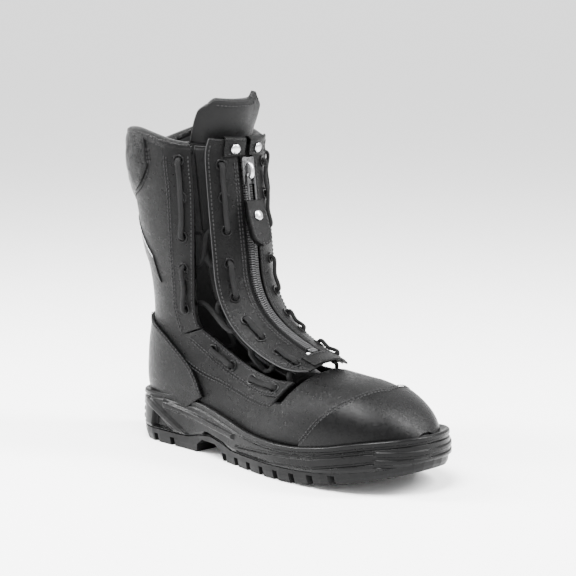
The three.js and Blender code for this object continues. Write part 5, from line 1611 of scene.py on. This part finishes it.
def inside(x, z, corners):
    """How far inside a convex outline (corners anticlockwise) each place is, in mm."""
    depth = np.full(x.shape, 99.0)
    for (ax, az), (bx, bz) in zip(corners, corners[1:] + corners[:1]):
        length = math.hypot(bx - ax, bz - az)
        depth = np.minimum(depth, ((bx - ax) * (z - az) - (bz - az) * (x - ax)) / length)
    return depth


def groove_heights(x):
    """The two long grooves round the forefoot, from the lower to the upper one."""
    bottom, rim = midsole_bottom(x), rim_height(x)
    upper = np.minimum(np.interp(x, [140, 230, 300], [17, 24, 38]), rim - RIM_GROOVE - 3)
    lower = np.minimum(np.interp(x, [140, 230, 300], [11.5, 16, 30]), upper - 3)
    return np.maximum(lower, bottom + 2), np.maximum(upper, bottom + 5)


def relief(x, z):
    """The sole side's grooves and raised panels: depth out of the wall, in mm."""
    rim = rim_height(x)
    lower, upper = groove_heights(x)
    out = np.zeros(x.shape)
    out -= 1.2 * band(z, rim - RIM_GROOVE, 0.6)
    sides = (x > 145) & (x < 282)
    out -= np.where(sides, 1.2 * band(z, upper, 0.6) + 1.2 * band(z, lower, 0.6), 0)
    for height in (21, 27, 33):
        out += np.where(x > 280, 1.1 * band(z, height, 1.2), 0) * smooth_step(x, 280, 286)
    wedge = inside(x, z, [(46, 31), (142, 21), (142, 27), (46, 38)])
    out += 2.2 * smooth_step(wedge, 0, 1.8)
    arch = inside(x, z, [(78, 8), (138, 11), (126, 17), (101, 21)])
    out -= 4.0 * smooth_step(arch, 0, 2.0)
    heel = inside(x, z, [(30, 12), (60, 12), (33, 28)])
    out -= 4.6 * smooth_step(heel, 0, 2.0)
    strip = inside(x, z, [(20, 33), (74, 9), (79, 13), (26, 39)])
    out += 1.4 * smooth_step(strip, 0, 1.0)
    blocks = inside(x, z, [(2, 12), (20, 12), (20, 30), (2, 30)])
    out -= 1.0 * smooth_step(blocks, 0, 1.0) * band((z - 12) % 6, 3, 1.0)
    return out


def midsole_piece():
    around = 420
    k = np.arange(2 * around)
    side = np.where(k <= around, -1, 1)
    i = np.where(k <= around, k, 2 * around - k)
    share = (1 - np.cos(np.pi * i / around)) / 2
    share = 0.75 * share + 0.25 * i / around
    y = np.where(side < 0, sole_outline(share, -1), sole_outline(share, 1))
    x = share * SOLE_LENGTH
    bottom, rim = midsole_bottom(x), rim_height(x)
    lower, upper = groove_heights(x)
    stops = np.array([bottom, lower, upper, rim - RIM_GROOVE, rim])
    levels = np.linspace(0, len(stops) - 1, 105)
    rows = []
    plan = np.stack([x, y], axis=-1)
    along = np.roll(plan, -1, axis=0) - np.roll(plan, 1, axis=0)
    normal = np.stack([along[:, 1], -along[:, 0]], axis=-1)
    normal /= np.maximum(np.linalg.norm(normal, axis=1, keepdims=True), 1e-9)
    normal[normal[:, 1] * side < -0.2] *= -1
    if normal[0, 0] > 0:
        normal[0] *= -1
    for up in levels:
        span = min(int(up), len(stops) - 2)
        z = stops[span] + (stops[span + 1] - stops[span]) * (up - span)
        base = -1.5 * np.clip(1 - (z - bottom) / 3, 0, 1)
        base = base - 0.7 * smooth_step((z - bottom) / (rim - bottom), 0.2, 1.0)
        lip = -1.3 * np.clip(1 - (rim - z) / 1.5, 0, 1) ** 2
        fade = smooth_step(z - bottom, 0.3, 1.5)
        push = base + lip + relief(x, z) * fade
        rows.append(np.stack([x + normal[:, 0] * push, y + normal[:, 1] * push, z], axis=-1))
    for inset, drop in ((3.2, 0.0), (4.5, 0.8), (6.5, 1.8), (12.0, 2.5), (22.0, 3.5)):
        rows.append(np.stack([x - normal[:, 0] * inset, y - normal[:, 1] * inset, rim - drop], axis=-1))
    points = np.vstack(rows)
    count = len(k)
    faces = ring_faces(len(rows), count)
    for base, flip in ((0, True), ((len(rows) - 1) * count, False)):
        for n in range(around):
            quad = [base + n, base + n + 1, base + (count - n - 1) % count, base + (count - n) % count]
            quad = list(dict.fromkeys(quad))
            faces.append(tuple(quad[::-1] if flip else quad))
    sole = make_object("midsole_visual", points, faces, sole_rubber)
    finished(sole, "midsole_rubber", "midsole")


midsole_piece()
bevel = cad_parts["outsole"].modifiers.new("rounded", "BEVEL")
bevel.width = 0.0006
bevel.segments = 2
bevel.limit_method = "ANGLE"

# ---------------------------------------------------------------- the CAD nodes that stay
CARRIED = {
    "outsole": tread_rubber,
    "shank": cap_metal,
    "insole_board": board,
    "puncture_layer": tape,
    "safety_toe_cap": cap_metal,
    "heel_counter": counter_plastic,
    "footbed": knit,
}
for node_name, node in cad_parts.items():
    if node_name in CARRIED:
        node.data.materials.clear()
        node.data.materials.append(CARRIED[node_name])

# ---------------------------------------------------------------- floor and light
FLOOR_SIZE = 160.0


def floor_piece():
    half = FLOOR_SIZE / 2
    mesh = bpy.data.meshes.new("floor")
    corners = [(-half, -half, 0), (half, -half, 0), (half, half, 0), (-half, half, 0)]
    mesh.from_pydata(corners, [], [(0, 1, 2, 3)])
    m = Nodes("floor", (0.95, 0.95, 0.95), 0.6)
    m.roughen(m.noise(30), 0.55, 0.65)
    mesh.materials.append(m.material)
    floor = bpy.data.objects.new("floor", mesh)
    bpy.context.scene.collection.objects.link(floor)


def area_light(name, azimuth, elevation, distance, size, power):
    data = bpy.data.lights.new(name, "AREA")
    data.shape = "RECTANGLE"
    data.size, data.size_y = size
    data.energy = power
    light = bpy.data.objects.new(name, data)
    bpy.context.scene.collection.objects.link(light)
    look_from(light, direction(azimuth, elevation) * distance, AIM)


def studio():
    world = bpy.data.worlds.new("studio")
    world.use_nodes = True
    background = world.node_tree.nodes["Background"]
    background.inputs["Color"].default_value = (1, 1, 1, 1)
    background.inputs["Strength"].default_value = 1.9
    bpy.context.scene.world = world
    area_light("key", 20, 70, distance=1.2, size=(0.6, 0.6), power=62)
    area_light("side", -55, 35, distance=1.3, size=(0.25, 0.9), power=44)
    area_light("fill", 130, 40, distance=1.3, size=(0.3, 0.9), power=48)


floor_piece()
studio()
